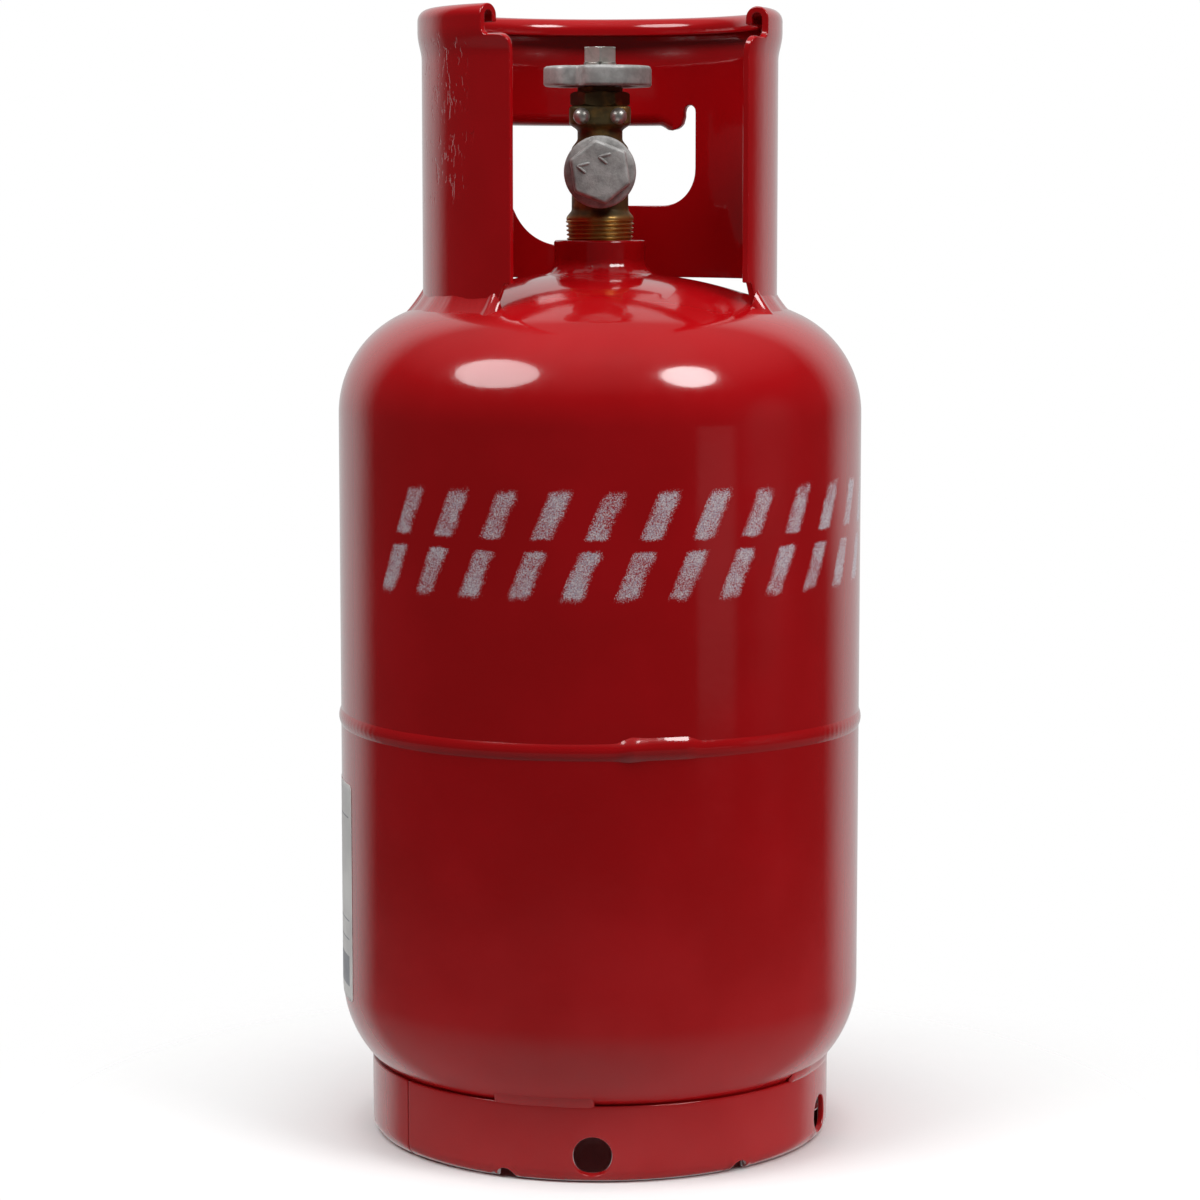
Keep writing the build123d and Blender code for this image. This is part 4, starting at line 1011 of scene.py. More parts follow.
@dataclass
class Neck:
    """Neck boss and the weld that ties it to the crown."""

    shell: PressureShell
    radius: float = 19.5
    rise: float = 13.0
    bore: float = 14.0
    weld_leg: float = 5.6

    def build(self, paint: bpy.types.Material) -> None:
        """Builds the boss as a lathe and the weld as a rippled hollow fillet.

        Args:
            paint: the enamel.
        """
        top = self.shell.crown_z + self.rise
        foot = self.shell.crown_z - self.shell.wall - 3
        corners = [(self.bore - 1, foot, 0), (self.radius, foot, 0.5), (self.radius, top, 1.1),
                   (self.bore, top, 0.6)]
        points, quads = lathe(densify(rounded_path(corners), 3, True), 160)
        settle(mesh_piece("neck_boss_skin", points, quads), paint, Body.TANK.value, "red_paint", "neck_boss")
        bearing = np.linspace(0, 360, 480, endpoint=False)[:, None]
        t = np.linspace(0, 1, 12)[None, :]
        # Hollow fillet: a quarter superellipse from the boss's side down to the head, plus ripples.
        swell = 1 + 0.07 * np.sin(np.radians(5 * bearing)) + 0.05 * np.sin(np.radians(11 * bearing + 60))
        ripple = 0.035 * np.sin(np.radians(bearing * 36) + 2 * t) * np.sin(np.pi * t)
        reach = self.weld_leg * swell * t ** 1.7 + ripple
        radius = self.radius + reach
        height = self.shell.top(radius) + self.weld_leg * swell * (1 - t) ** 1.7 + ripple * 0.5 - 0.05 * t
        outer = around(bearing, radius, height)
        root = around(bearing, np.full_like(bearing, self.radius - 0.4), self.shell.crown_z - 1.5 + 0 * bearing)
        piece = mesh_piece("neck_fillet_weld", *bead(outer, root), WELD_CREASE)
        settle(piece, paint, Body.TANK.value, "red_paint", "neck_weld")


# ---- handle collar --------------------------------------------------------------------------------------
@dataclass
class Collar:
    """Rolled handle collar: panel, curled rim, grip window with its bent lip, and feet welded to the head."""

    shell: PressureShell
    radius: float = 75.0
    wall: float = 2.8
    bearing: float = 12.5
    rise: float = 109.0
    opening_half: float = 41.9
    rim_half: float = 51.9
    tab_drop: float = 12.5
    curl: float = 5.0
    rim_proud: float = 1.7
    window_half: float = 48.2
    window_low: float = 81.6
    window_high: float = 41.0
    window_corner: float = 17.0
    dip_radius: float = 27.3
    dip_rise: float = 9.6
    relief_width: float = 7.0
    lip_radius: float = 5.5
    skirt_gap: float = 10.0
    foot_blend: float = 2.6
    lip_corner: float = 5.0
    tab_root: float = 3.3
    tab_corner: float = 4.0
    edge: float = 0.55
    weld_leg: float = 4.6
    feet: tuple[tuple[float, float], ...] = ((-134.0, -75.0), (-15.0, 15.0), (75.0, 134.0))

    def __post_init__(self) -> None:
        """Works out the middle surface's radius and the heights."""
        self.middle = self.radius - self.wall / 2
        self.top = self.shell.crown_z + self.rise
        self.foot_z = float(self.shell.top(self.radius)) + 0.1
        self.panel_z = self.foot_z + self.skirt_gap
        self.per_degree = math.radians(1) * self.middle

    def columns(self) -> Array:
        """Angles from the window's middle, in degrees, close together where an outline turns.

        Returns:
            The angles in order.
        """
        corner = self.window_corner / self.per_degree
        slot = self.relief_width / self.per_degree
        swing = np.linspace(0, np.pi / 2, 11)
        edge = self.window_half
        inner = edge - slot
        half_slot = slot / 2
        end, root = 180 - self.opening_half, 180 - self.rim_half
        pieces = [
            np.linspace(0, 25, 26),
            np.linspace(26, edge - corner, 6),
            edge - corner * (1 - np.sin(swing)),
            inner - self.lip_corner / self.per_degree * np.cos(swing),
            inner + half_slot * (1 - np.cos(np.linspace(0, np.pi, 13))),
            np.linspace(edge, end, 70),
            root + self.tab_root / self.per_degree * (1 - np.cos(swing)),
            end - self.tab_corner / self.per_degree * (1 - np.cos(swing)),
            np.unique(np.abs(self.feet))[:, None].repeat(9, 1).ravel()
            + np.tile(np.linspace(-3.5, 3.5, 9), 3),
        ]
        half = np.unique(np.round(np.concatenate(pieces), 5))
        half = half[(half >= 0) & (half <= end)]
        fixed = np.array([edge, inner, root, end, 0.0])
        near = np.abs(half[:, None] - np.round(fixed, 5)[None, :]).min(1) < 1e-4
        keep = [0]
        for k in range(1, len(half)):
            if half[k] - half[keep[-1]] > 0.12 or near[k]:
                if near[k] and half[k] - half[keep[-1]] < 0.12 and not near[keep[-1]]:
                    keep.pop()
                keep.append(k)
        half = half[keep]
        return np.concatenate([-half[:0:-1], half])

    def rows_at(self, angle: Array) -> list[Array]:
        """Path positions of the row blocks' borders at each column.

        A position is a height on the straight wall; past the curl's start it goes on as arc length, and below
        the lip's bend it goes back as arc length. The borders are the lower edge, the window's lower edge, the
        lip's end, the window's upper edge, the tab's top and the curl's end.

        Args:
            angle: degrees from the window's middle.

        Returns:
            A position for each column, border by border.
        """
        a = np.abs(angle)
        x = a * self.per_degree
        half = self.window_half * self.per_degree
        grown = self.edge
        foot = np.zeros_like(a)
        for low, high in self.feet:
            begun = smooth_step(angle, low - self.foot_blend, low + self.foot_blend)
            ended = smooth_step(angle, high - self.foot_blend, high + self.foot_blend)
            foot = np.maximum(foot, begun * (1 - ended))
        bottom = self.panel_z + (self.foot_z - self.panel_z) * foot
        low_edge = self.top - self.window_low
        into = np.clip(half - x, 0, self.window_corner)
        size = self.window_corner
        corner = low_edge + size - np.sqrt(size ** 2 - (size - into) ** 2)
        dip = low_edge + self.dip_rise - np.sqrt(np.maximum(self.dip_radius ** 2 - x ** 2, 0.0))
        sill = np.where(x < self.dip_radius, soft_min(corner, dip, 2.0), corner)
        slot = self.relief_width / 2
        bend = self.top - self.window_high
        lip_end = bend - math.pi / 2 * (self.lip_radius - self.wall / 2) - 1.0
        reach = np.clip(half - self.relief_width - x, 0, self.lip_corner)
        lip_end = lip_end + self.lip_corner - np.sqrt(self.lip_corner ** 2 - (self.lip_corner - reach) ** 2)
        off = np.clip(np.abs(x - (half - slot)) / slot, 0, 1)
        head = bend - 0.3 + slot * np.sqrt(1 - off ** 2)
        tab_top = self.top - self.tab_drop
        beyond = np.clip((a - (180 - self.rim_half)) * self.per_degree, 0, self.tab_root)
        tab = tab_top + self.tab_root - np.sqrt(self.tab_root ** 2 - (self.tab_root - beyond) ** 2)
        left = np.clip((180 - self.opening_half - a) * self.per_degree, 0, self.tab_corner)
        tab = tab - self.tab_corner + np.sqrt(self.tab_corner ** 2 - (self.tab_corner - left) ** 2)
        end = self.top - self.curl + math.pi * (self.curl - self.wall / 2) + 2.5 + 0 * a
        return [bottom + grown, sill - grown, lip_end + grown, head + grown, tab - grown, end - grown]

    def place(self, angle: Array, path: Array) -> Array:
        """Maps an angle and a path position to the middle surface.

        Wall: radius constant, then an S-shaped flare of rim_proud. Above the curl's start the path follows a
        circle of radius curl - wall/2 inwards and then straight down. Below the window's head, between the
        lip's ends, it follows a quarter circle outwards and then straight out.

        Args:
            angle: degrees from the window's middle.
            path: path position, as rows_at gives it.

        Returns:
            Points of the middle surface.
        """
        x = np.abs(angle) * self.per_degree
        start = self.top - self.curl
        bend_radius = self.curl - self.wall / 2
        flare = self.rim_proud * smooth_step(path, self.top - 21, self.top - 10)
        radius = self.middle + flare
        height = np.minimum(path, start)
        turn = np.clip((path - start) / bend_radius, 0, math.pi)
        past = np.maximum(path - start - math.pi * bend_radius, 0)
        radius = radius - bend_radius * (1 - np.cos(turn))
        height = height + bend_radius * np.sin(turn) - past
        lip_bend = self.lip_radius - self.wall / 2
        lip_limit = (self.window_half * self.per_degree) - self.relief_width
        fade = smooth_step(x, lip_limit - 13, lip_limit - 1)
        bend_start = self.top - self.window_high - 7.5 * fade
        under = np.where(x < lip_limit + 1e-6, np.maximum(bend_start - path, 0), 0)
        under = np.where(path > self.top - self.window_low + 30, under, 0)
        swing = np.clip(under / lip_bend, 0, math.pi / 2)
        out = np.maximum(under - math.pi / 2 * lip_bend, 0)
        radius = radius + lip_bend * (1 - np.cos(swing)) + out
        height = np.where(under > 0, bend_start - lip_bend * np.sin(swing), height)
        return around(angle + self.bearing + 180, radius, height)

    def build_sheet(self) -> bpy.types.Object:
        """Lays the grid of columns and row blocks, leaves out the window and the rim's gap, and thickens it.

        Returns:
            The new object.
        """
        angle = self.columns()
        borders = self.rows_at(angle)
        counts = (16, 10, 9, 16, 30)
        path = [borders[0][:, None]]
        block = []
        for k, count in enumerate(counts):
            share = np.linspace(0, 1, count + 1)[1:]
            path.append(borders[k][:, None] + (borders[k + 1] - borders[k])[:, None] * share[None, :])
            block.extend([k] * count)
        grid = np.concatenate(path, axis=1)
        middle = self.place(angle[:, None] + 0 * grid, grid)
        columns, rows = grid.shape
        quads = grid_quads(columns, rows)
        face_angle = np.abs((angle[:-1] + angle[1:]) / 2)[:, None] + np.zeros((1, rows - 1))
        face_block = np.array(block)[None, :] + np.zeros((columns - 1, 1), int)
        slot_start = self.window_half - self.relief_width / self.per_degree
        gone = (face_block == 1) & (face_angle < self.window_half)
        gone |= (face_block == 2) & (face_angle > slot_start) & (face_angle < self.window_half)
        gone |= (face_block == 4) & (face_angle > 180 - self.rim_half)
        quads = quads[~gone.ravel()]
        points = middle.reshape(-1, 3)
        used, inverse = np.unique(quads, return_inverse=True)
        points, quads = thicken(points[used], inverse.reshape(-1, 4), self.wall, self.edge)
        piece = mesh_piece("collar_sheet", points, quads, 60)
        even_normals(piece)
        return piece

    def build_welds(self) -> bpy.types.Object:
        """Lays a rippled fillet along each foot's outside, closed by shrinking it to nothing at its ends.

        The section at share t goes from the panel's face down to the head as (1 - t)^1.3 of the leg, the leg
        swells into round ends, and a ball of weld metal closes each end.

        Returns:
            The new object.
        """
        parts = []
        for low, high in self.feet:
            along = np.linspace(0, 1, 220)[:, None]
            angle = low - 1.0 + (high - low + 2.0) * along
            t = np.linspace(0, 1, 9)[None, :]
            run = np.minimum(along, 1 - along) * (high - low) * self.per_degree
            ends = np.sqrt(np.clip(run / 3.0, 0, 1) * (2 - np.clip(run / 3.0, 0, 1)))
            leg = self.weld_leg * ends * (1 + 0.09 * np.sin(13 * along) + 0.05 * np.sin(29 * along + 1))
            leg = leg * (1 + 0.45 * bump(run, 3.5, 2.2))
            ripple = 0.012 * ends * np.sin(run * 1.9 + 2 * t) * np.sin(np.pi * t)
            radius = self.radius - 0.2 + (leg + 0.2) * t ** 1.15 + ripple
            height = self.shell.top(radius) + leg * (1 - t) ** 1.15 + ripple
            outer = around(angle + self.bearing + 180, radius, height)
            deep = np.full_like(along, self.radius - 1.2)
            root = around(angle + self.bearing + 180, deep, self.shell.top(deep) - 0.6 + 0.3 * leg)
            parts.append(bead(outer, root, pinched=True))
        return mesh_piece("collar_foot_welds", *joined(parts), WELD_CREASE)

    def build(self, paint: bpy.types.Material) -> None:
        """Builds and dresses the collar and its welds."""
        settle(self.build_sheet(), paint, Body.TANK.value, "red_paint", "collar")
        settle(self.build_welds(), paint, Body.TANK.value, "red_paint", "collar_welds")


# ---- foot ring ------------------------------------------------------------------------------------------
@dataclass
class FootRing:
    """Rolled foot ring with a butt joint, four vent holes and six drain notches, and its welds."""

    shell: PressureShell
    radius: float = 98.5
    wall: float = 2.5
    bend: float = 5.5
    landing: float = 2.5
    joint: float = -54.8
    vents: tuple[float, ...] = (-1.8, 72.2, 178.2, 252.2)
    vent_radius: float = 8.0
    vent_z: float = 11.5
    drains: int = 6
    drain_first: float = -23.6
    drain_radius: float = 5.0
    welds: tuple[float, ...] = (-13.7, 66.0, 158.0, 246.0)
    weld_span: float = 25.0
    edge: float = 0.5

    def __post_init__(self) -> None:
        """Works out the middle line and its length from the top edge to the landing's inner edge."""
        self.middle = self.radius - self.wall / 2
        inner = self.radius - self.wall
        self.top = self.shell.low_tangent - float(self.shell.rise(inner))
        self.straight = self.top - self.bend
        self.mid_bend = self.bend - self.wall / 2
        self.length = self.straight + self.mid_bend * math.pi / 2 + self.landing
        self.per_degree = math.radians(1) * self.middle

    def place(self, bearing: Array, path: Array) -> Array:
        """Maps a bearing and a distance down the path to the middle surface: wall, inward bend, flat landing.

        Args:
            bearing: bearings in degrees.
            path: position along the path.

        Returns:
            Points of the middle surface.
        """
        turn = np.clip((path - self.straight) / self.mid_bend, 0, math.pi / 2)
        flat = np.maximum(path - self.straight - self.mid_bend * math.pi / 2, 0)
        radius = self.middle - self.mid_bend * (1 - np.cos(turn)) - flat
        height = self.top - np.minimum(path, self.straight) - self.mid_bend * np.sin(turn)
        return around(bearing, radius, height)

    def notch_path(self, off: Array) -> Array:
        """Path length left above a drain notch at a distance off its middle: where the middle line's height is
        that of the notch's circle.

        Args:
            off: distance off the notch's middle.

        Returns:
            Path lengths.
        """
        height = np.sqrt(np.maximum(self.drain_radius ** 2 - off ** 2, 0))
        sink = np.clip((self.bend - height) / self.mid_bend, -1, 1)
        on_bend = self.straight + self.mid_bend * np.arcsin(np.minimum(sink, 1))
        return np.where((np.abs(off) < self.drain_radius) & (height > self.wall / 2), on_bend, self.length)

    def build_sheet(self) -> bpy.types.Object:
        """Lays a grid between the joint's two edges, swaps a square round each vent for rings that run from the
        hole's circle to the square, and thickens it all.

        Returns:
            The new object.
        """
        tile = 12.0
        side = 12
        step = 2 * tile / side
        vent_path = self.top - self.vent_z
        tile_rows = vent_path - tile + step * np.arange(side + 1)
        rows = np.concatenate([np.linspace(0, tile_rows[0], 6)[:-1], tile_rows[tile_rows < self.length - 1.0]])
        rows = np.concatenate([rows, np.linspace(rows[-1], self.length, 5)[1:]])
        gap = (0.25 + self.edge) / self.per_degree
        start, end = self.joint + gap, self.joint + 360 - gap
        drains = self.drain_first + np.arange(self.drains) * 360 / self.drains
        drains = start + (drains - start) % 360
        vents = start + (np.array(self.vents) - start) % 360
        chord = math.sqrt(self.drain_radius ** 2 - (self.wall / 2) ** 2)
        swing = np.linspace(-np.pi / 2, np.pi / 2, 17)
        marks = [np.array([start, end])]
        marks += [d + chord * np.sin(swing) / self.per_degree for d in drains]
        marks += [v + (step * np.arange(side + 1) - tile) / self.per_degree for v in vents]
        fixed = np.sort(np.concatenate(marks))
        gaps = np.diff(fixed)
        filled = [np.linspace(a, b, max(int(np.ceil(g / 1.6)), 1), endpoint=False) for a, b, g in
                  zip(fixed[:-1], fixed[1:], gaps)]
        bearing = np.append(np.concatenate(filled), end)
        off = np.abs((bearing[:, None] - drains[None, :]) * self.per_degree).min(1)
        inside = off < chord + 1e-6
        last = np.where(inside, self.notch_path(np.minimum(off, chord - 1e-6)), self.length)
        path = rows[None, :] * (last / self.length)[:, None]
        columns = len(bearing)
        middle = self.place(bearing[:, None] + 0 * path, path)
        quads = grid_quads(columns, len(rows))
        face_x = (bearing[:-1] + bearing[1:])[:, None] / 2 + np.zeros((1, len(rows) - 1))
        face_v = (rows[:-1] + rows[1:])[None, :] / 2 + np.zeros((columns - 1, 1))
        near = np.abs((face_x[:, :, None] - vents) * self.per_degree).min(2)
        kept_low = tile_rows[tile_rows < self.length - 1.0][-1]
        in_tile = (near < tile) & (face_v > tile_rows[0]) & (face_v < kept_low)
        quads = quads[~in_tile.ravel()]
        parts = [(middle.reshape(-1, 3), quads)]
        # Square border, counted round from a corner, and the circle's points in the same directions.
        cut = (kept_low - tile_rows[0]) / step
        cells = int(round(cut))
        line = step * np.arange(side + 1) - tile
        drop = tile_rows[:cells + 1] - vent_path
        border = np.concatenate([
            np.stack([line[:-1], np.full(side, drop[0])], 1),
            np.stack([np.full(cells, tile), drop[:-1]], 1),
            np.stack([line[:0:-1], np.full(side, drop[-1])], 1),
            np.stack([np.full(cells, -tile), drop[:0:-1]], 1),
        ])
        direction = np.arctan2(border[:, 1], border[:, 0])
        circle = (self.vent_radius + self.edge) * np.stack([np.cos(direction), np.sin(direction)], 1)
        share = np.array([0, 0.12, 0.34, 0.64, 1.0])[:, None, None]
        rings = circle[None] * (1 - share) + border[None] * share
        for vent in vents:
            points = self.place(vent + rings[..., 0] / self.per_degree, vent_path + rings[..., 1])
            faces = grid_quads(len(share), len(border), wrap_columns=True)
            parts.append((points.reshape(-1, 3), faces))
        points, quads = joined(parts)
        _, index, inverse = np.unique(np.round(points, 4), axis=0, return_index=True, return_inverse=True)
        points, quads = points[index], inverse.reshape(-1)[quads]
        outward = np.cross(points[quads[:, 2]] - points[quads[:, 0]], points[quads[:, 3]] - points[quads[:, 1]])
        centre = points[quads].mean(1) * np.array([1, 1, 0])
        centre[:, 2] -= np.where(points[quads].mean(1)[:, 2] < self.bend, self.bend, 0)
        flip = (outward * centre).sum(1) < 0
        quads[flip] = quads[flip][:, ::-1]
        used, inverse = np.unique(quads, return_inverse=True)
        points, quads = thicken(points[used], inverse.reshape(-1, 4), self.wall, self.edge)
        points[:, 2] = np.maximum(points[:, 2], 0.0)
        piece = mesh_piece("foot_ring_band", points, quads, 60)
        even_normals(piece)
        return piece

    def build_welds(self) -> bpy.types.Object:
        """Fills the gap under the head with beads that taper to nothing at both ends.

        Returns:
            The new object.
        """
        parts = []
        for bearing in self.welds:
            along = np.linspace(0, 1, 160)[:, None]
            angle = bearing + (along - 0.5) * self.weld_span
            run = np.minimum(along, 1 - along) * self.weld_span * self.per_degree
            ends = np.sqrt(np.clip(run / 2.5, 0, 1) * (2 - np.clip(run / 2.5, 0, 1)))
            t = np.linspace(0, 1, 9)[None, :]
            size = (1 + 0.05 * np.sin(9 * along) + 0.03 * np.sin(17 * along + 2)) * ends
            ripple = 0.008 * ends * np.sin(run * 1.7 + t) * np.sin(np.pi * t)
            low = np.array([self.radius - 0.3, self.top - 0.5])
            toe = self.radius + 1.5
            high = np.array([toe, self.shell.low_tangent - float(self.shell.rise(toe)) + 0.1])
            mid_radius = self.radius - 0.6
            mid_z = self.top + 0.9
            face_r = low[0] * (1 - t) + high[0] * t + 0.25 * np.sin(np.pi * t)
            face_z = low[1] * (1 - t) + high[1] * t - 0.35 * np.sin(np.pi * t)
            radius = mid_radius + (face_r - mid_radius) * size + ripple
            height = mid_z + (face_z - mid_z) * size
            outer = around(angle, radius, height)
            root = around(angle, np.full_like(along, self.radius - 1.6), self.top + 0.7 + 0 * along)
            parts.append(bead(outer, root, pinched=True))
        return mesh_piece("foot_ring_beads", *joined(parts), WELD_CREASE)

    def build(self, paint: bpy.types.Material) -> None:
        """Builds and dresses the foot ring and its welds."""
        settle(self.build_sheet(), paint, Body.TANK.value, "red_paint", "foot_ring")
        settle(self.build_welds(), paint, Body.TANK.value, "red_paint", "foot_ring_welds")


@dataclass
class BodyLabel:
    """Self-adhesive label on the lower half, with rounded corners."""

    shell: PressureShell
    low: float = 61.0
    high: float = 154.0
    first: float = -122.0
    last: float = -70.3
    corner: float = 3.0
    thickness: float = 0.18

    def build(self, film: LabelFilm) -> None:
        """Lays a thin sheet on the body, its ends cut back by the corner circles.

        Args:
            film: the label's film.
        """
        per_degree = math.radians(1) * self.shell.radius
        width = (self.last - self.first) * per_degree
        swing = np.linspace(0, np.pi / 2, 7)
        ends = self.corner * (1 - np.cos(swing))
        arc = np.unique(np.round(np.concatenate([ends, np.linspace(self.corner, width - self.corner, 60),
                                                 width - ends]), 5))
        side = np.clip(self.corner - np.minimum(arc, width - arc), 0, self.corner)
        back = self.corner - np.sqrt(np.maximum(self.corner ** 2 - side ** 2, 0))
        share = np.linspace(0, 1, 41)[None, :]
        height = (self.low + back)[:, None] * (1 - share) + (self.high - back)[:, None] * share
        sink = np.maximum(self.shell.low_tangent - height, 0)
        knuckle = self.shell.knuckle_centre + np.sqrt(self.shell.knuckle ** 2 - sink ** 2)
        middle = around(self.first + arc[:, None] / per_degree, knuckle + self.thickness / 2, height)
        quads = grid_quads(len(arc), share.size)
        points, quads = thicken(middle.reshape(-1, 3), quads, self.thickness, 0.05, 1)
        piece = mesh_piece("label_sheet", points, quads, 50)
        material = film.material(self.low, self.high, self.first, self.last, self.shell.radius)
        settle(piece, material, Body.TANK.value, "label_film", "label")


# ---- valve ----------------------------------------------------------------------------------------------
@dataclass
class Valve:
    """Valve body with its taper thread and block head, bonnet and locking pins."""

    base: float = 382.0
    thread: float = 14.0
    taper: float = 0.06
    pitch: float = 1.814
    depth: float = 1.15
    shown: float = 9.0
    barrel: float = 12.0
    neck: float = 9.5
    head_width: float = 26.0
    head_depth: float = 23.0
    outlet_z: float = 410.4
    outlet_radius: float = 10.9
    outlet_reach: float = 29.0
    height: float = 56.0
    rounding: float = 1.2
    bonnet_flats: float = 22.0
    bonnet_height: float = 6.0

    def build_body(self) -> bpy.types.Object:
        """Surface of radii r(angle, height).

        The radius goes through a table of sections by smooth steps: shank, barrel, neck and head. The head's
        section is a rounded rectangle, the largest radius with |x|^n/a^n + |y|^n/b^n = 1, blended in from the
        neck's circle. The thread adds a triangle wave of (height - pitch * turn) that fades at both ends.

        Returns:
            The new object.
        """
        bearing = np.linspace(0, 360, 288, endpoint=False)[:, None]
        low, high = self.base - 2.0, self.base + self.height
        height = np.concatenate([np.linspace(low, self.base + self.shown, 90),
                                 np.linspace(self.base + self.shown + 0.4, high - self.rounding, 90),
                                 high - self.rounding + self.rounding * np.sin(np.linspace(0.2, np.pi / 2, 6))])
        height = height[None, :]
        up = height - self.base
        turn = np.radians(bearing)
        shank = self.thread + self.taper * up
        fade = (1 - smooth_step(up, self.shown - 1.4, self.shown - 0.2))
        wave = np.abs(((up / self.pitch - bearing / 360) % 1.0) * 2 - 1)
        shank = shank - 0.8 * self.depth * fade * smooth_step(wave, 0.15, 0.85) - 0.25 * (1 - fade)
        radius = shank + (self.barrel - shank) * smooth_step(up, self.shown - 0.2, self.shown + 4.0)
        radius = radius + (self.neck - radius) * smooth_step(up, 38.0, 42.5)
        power = 4.5
        block = ((np.abs(np.sin(turn)) / (self.head_width / 2)) ** power
                 + (np.abs(np.cos(turn)) / (self.head_depth / 2)) ** power) ** (-1 / power)
        swell = smooth_step(up, 45.6, 49.0)
        radius = radius + (block - radius) * swell
        past = np.maximum(up - (self.height - self.rounding), 0) / self.rounding
        radius = radius - self.rounding * (1 - np.sqrt(np.clip(1 - past ** 2, 0, 1)))
        outer = around(bearing, radius + 0 * height, height)
        bore_high = around(bearing, np.full_like(bearing, 9.3), high + 0 * bearing)
        bore_mid = around(bearing, np.full_like(bearing, 9.3), high - 3 + 0 * bearing)
        axis_top = around(bearing, 0 * bearing, high - 3 + 0 * bearing)
        axis_low = around(bearing, 0 * bearing, low + 0 * bearing)
        grid = np.concatenate([axis_low, outer, bore_high, bore_mid, axis_top], axis=1)
        quads = grid_quads(len(bearing), grid.shape[1], wrap_rows=True)
        barrel = (grid.reshape(-1, 3), turned(grid.reshape(-1, 3), quads))
        # Outlet stub with a few turns of thread, lathed along -Y.
        turns = 7
        crest = self.outlet_radius + 0 * np.arange(turns)
        start = self.outlet_reach - 1.0 - turns * self.pitch
        along = start + self.pitch * np.arange(turns)
        zigzag = np.stack([np.stack([crest, along], 1), np.stack([crest - 0.9, along + self.pitch / 2], 1)],
                          1).reshape(-1, 2)
        lead = np.array([[0, 7.0], [10.4, 7.0], [10.4, start - 0.5]])
        tip = np.array([[self.outlet_radius, self.outlet_reach - 1.0], [10.1, self.outlet_reach],
                        [4.0, self.outlet_reach], [4.0, 8.0], [0.0, 8.0]])
        points, quads = lathe(np.vstack([lead, zigzag, tip]), 96)
        points = np.stack([points[:, 0], -points[:, 2], points[:, 1] + self.outlet_z], 1)
        points, quads = joined([barrel, (points, turned(points, quads))])
        return mesh_piece("valve_casting", points, quads, 45)

    def build_bonnet(self) -> bpy.types.Object:
        """Hexagon with both ends chamfered by a 30 degree cone, a round collar over it and a plug end below.

        The hexagon's radius is the smaller of the rounded hexagon and the cone, which draws the arcs on its
        flats.

        Returns:
            The new object.
        """
        angle = np.linspace(0, 2 * np.pi, 360, endpoint=False)[:, None]
        low = self.base + self.height
        up = np.concatenate([np.linspace(0, 1.4, 10), np.linspace(1.6, 4.4, 6), np.linspace(4.6, 6.0, 10)])
        up = up[None, :]
        radius = chamfered_hexagon(angle, up, self.bonnet_flats, 0.8, self.bonnet_height, 0.1, 0.12)
        shank = [circle(angle, r, low + z) for r, z in ((0.0, -3.0), (8.9, -3.0), (8.9, 0.0))]
        collar = [circle(angle, r, low + z) for r, z in
                  ((9.9, 6.0), (9.5, 6.3), (9.5, 7.6), (9.1, 8.0), (5.1, 8.0), (5.1, 5.0), (0.0, 5.0))]
        grid = np.concatenate([*shank, circle(angle, radius, low + up), *collar], axis=1)
        quads = grid_quads(len(angle), grid.shape[1], wrap_rows=True)
        points = grid.reshape(-1, 3)
        return mesh_piece("bonnet_hexagon", points, turned(points, quads), 45)

    def build_pins(self) -> bpy.types.Object:
        """Two domed pins: a spherical cap over a short collar, lathed along -Y, with a plain shank behind.

        Returns:
            The new object.
        """
        swing = np.linspace(0, 1.25, 12)
        cap = np.stack([3.62 * np.sin(swing), 8.8 + 3.62 * (np.cos(swing)) + 1.9], 1)
        foot = np.array([[3.5, 11.5], [3.35, 11.2], [1.25, 11.2], [1.25, -11.5], [0.0, -11.5]])
        points, quads = lathe(np.vstack([cap, foot]), 64)
        lying = np.stack([points[:, 0], -points[:, 2], points[:, 1]], 1)
        centres = [np.array([side * 7.75, 0.0, self.base + 51.7]) for side in (-1, 1)]
        both, faces = joined([(lying + centre, turned(lying, quads)) for centre in centres])
        return mesh_piece("domed_pins", both, faces, 50)

    def build(self, brass: bpy.types.Material, zinc: bpy.types.Material) -> None:
        """Builds and dresses the valve's fixed pieces.

        Args:
            brass: the stamped brass.
            zinc: the zinc plate.
        """
        settle(self.build_body(), brass, Body.TANK.value, "brass", "valve_body")
        settle(self.build_bonnet(), brass, Body.TANK.value, "brass", "bonnet")
        settle(self.build_pins(), zinc, Body.TANK.value, "plated_steel", "locking_pins")


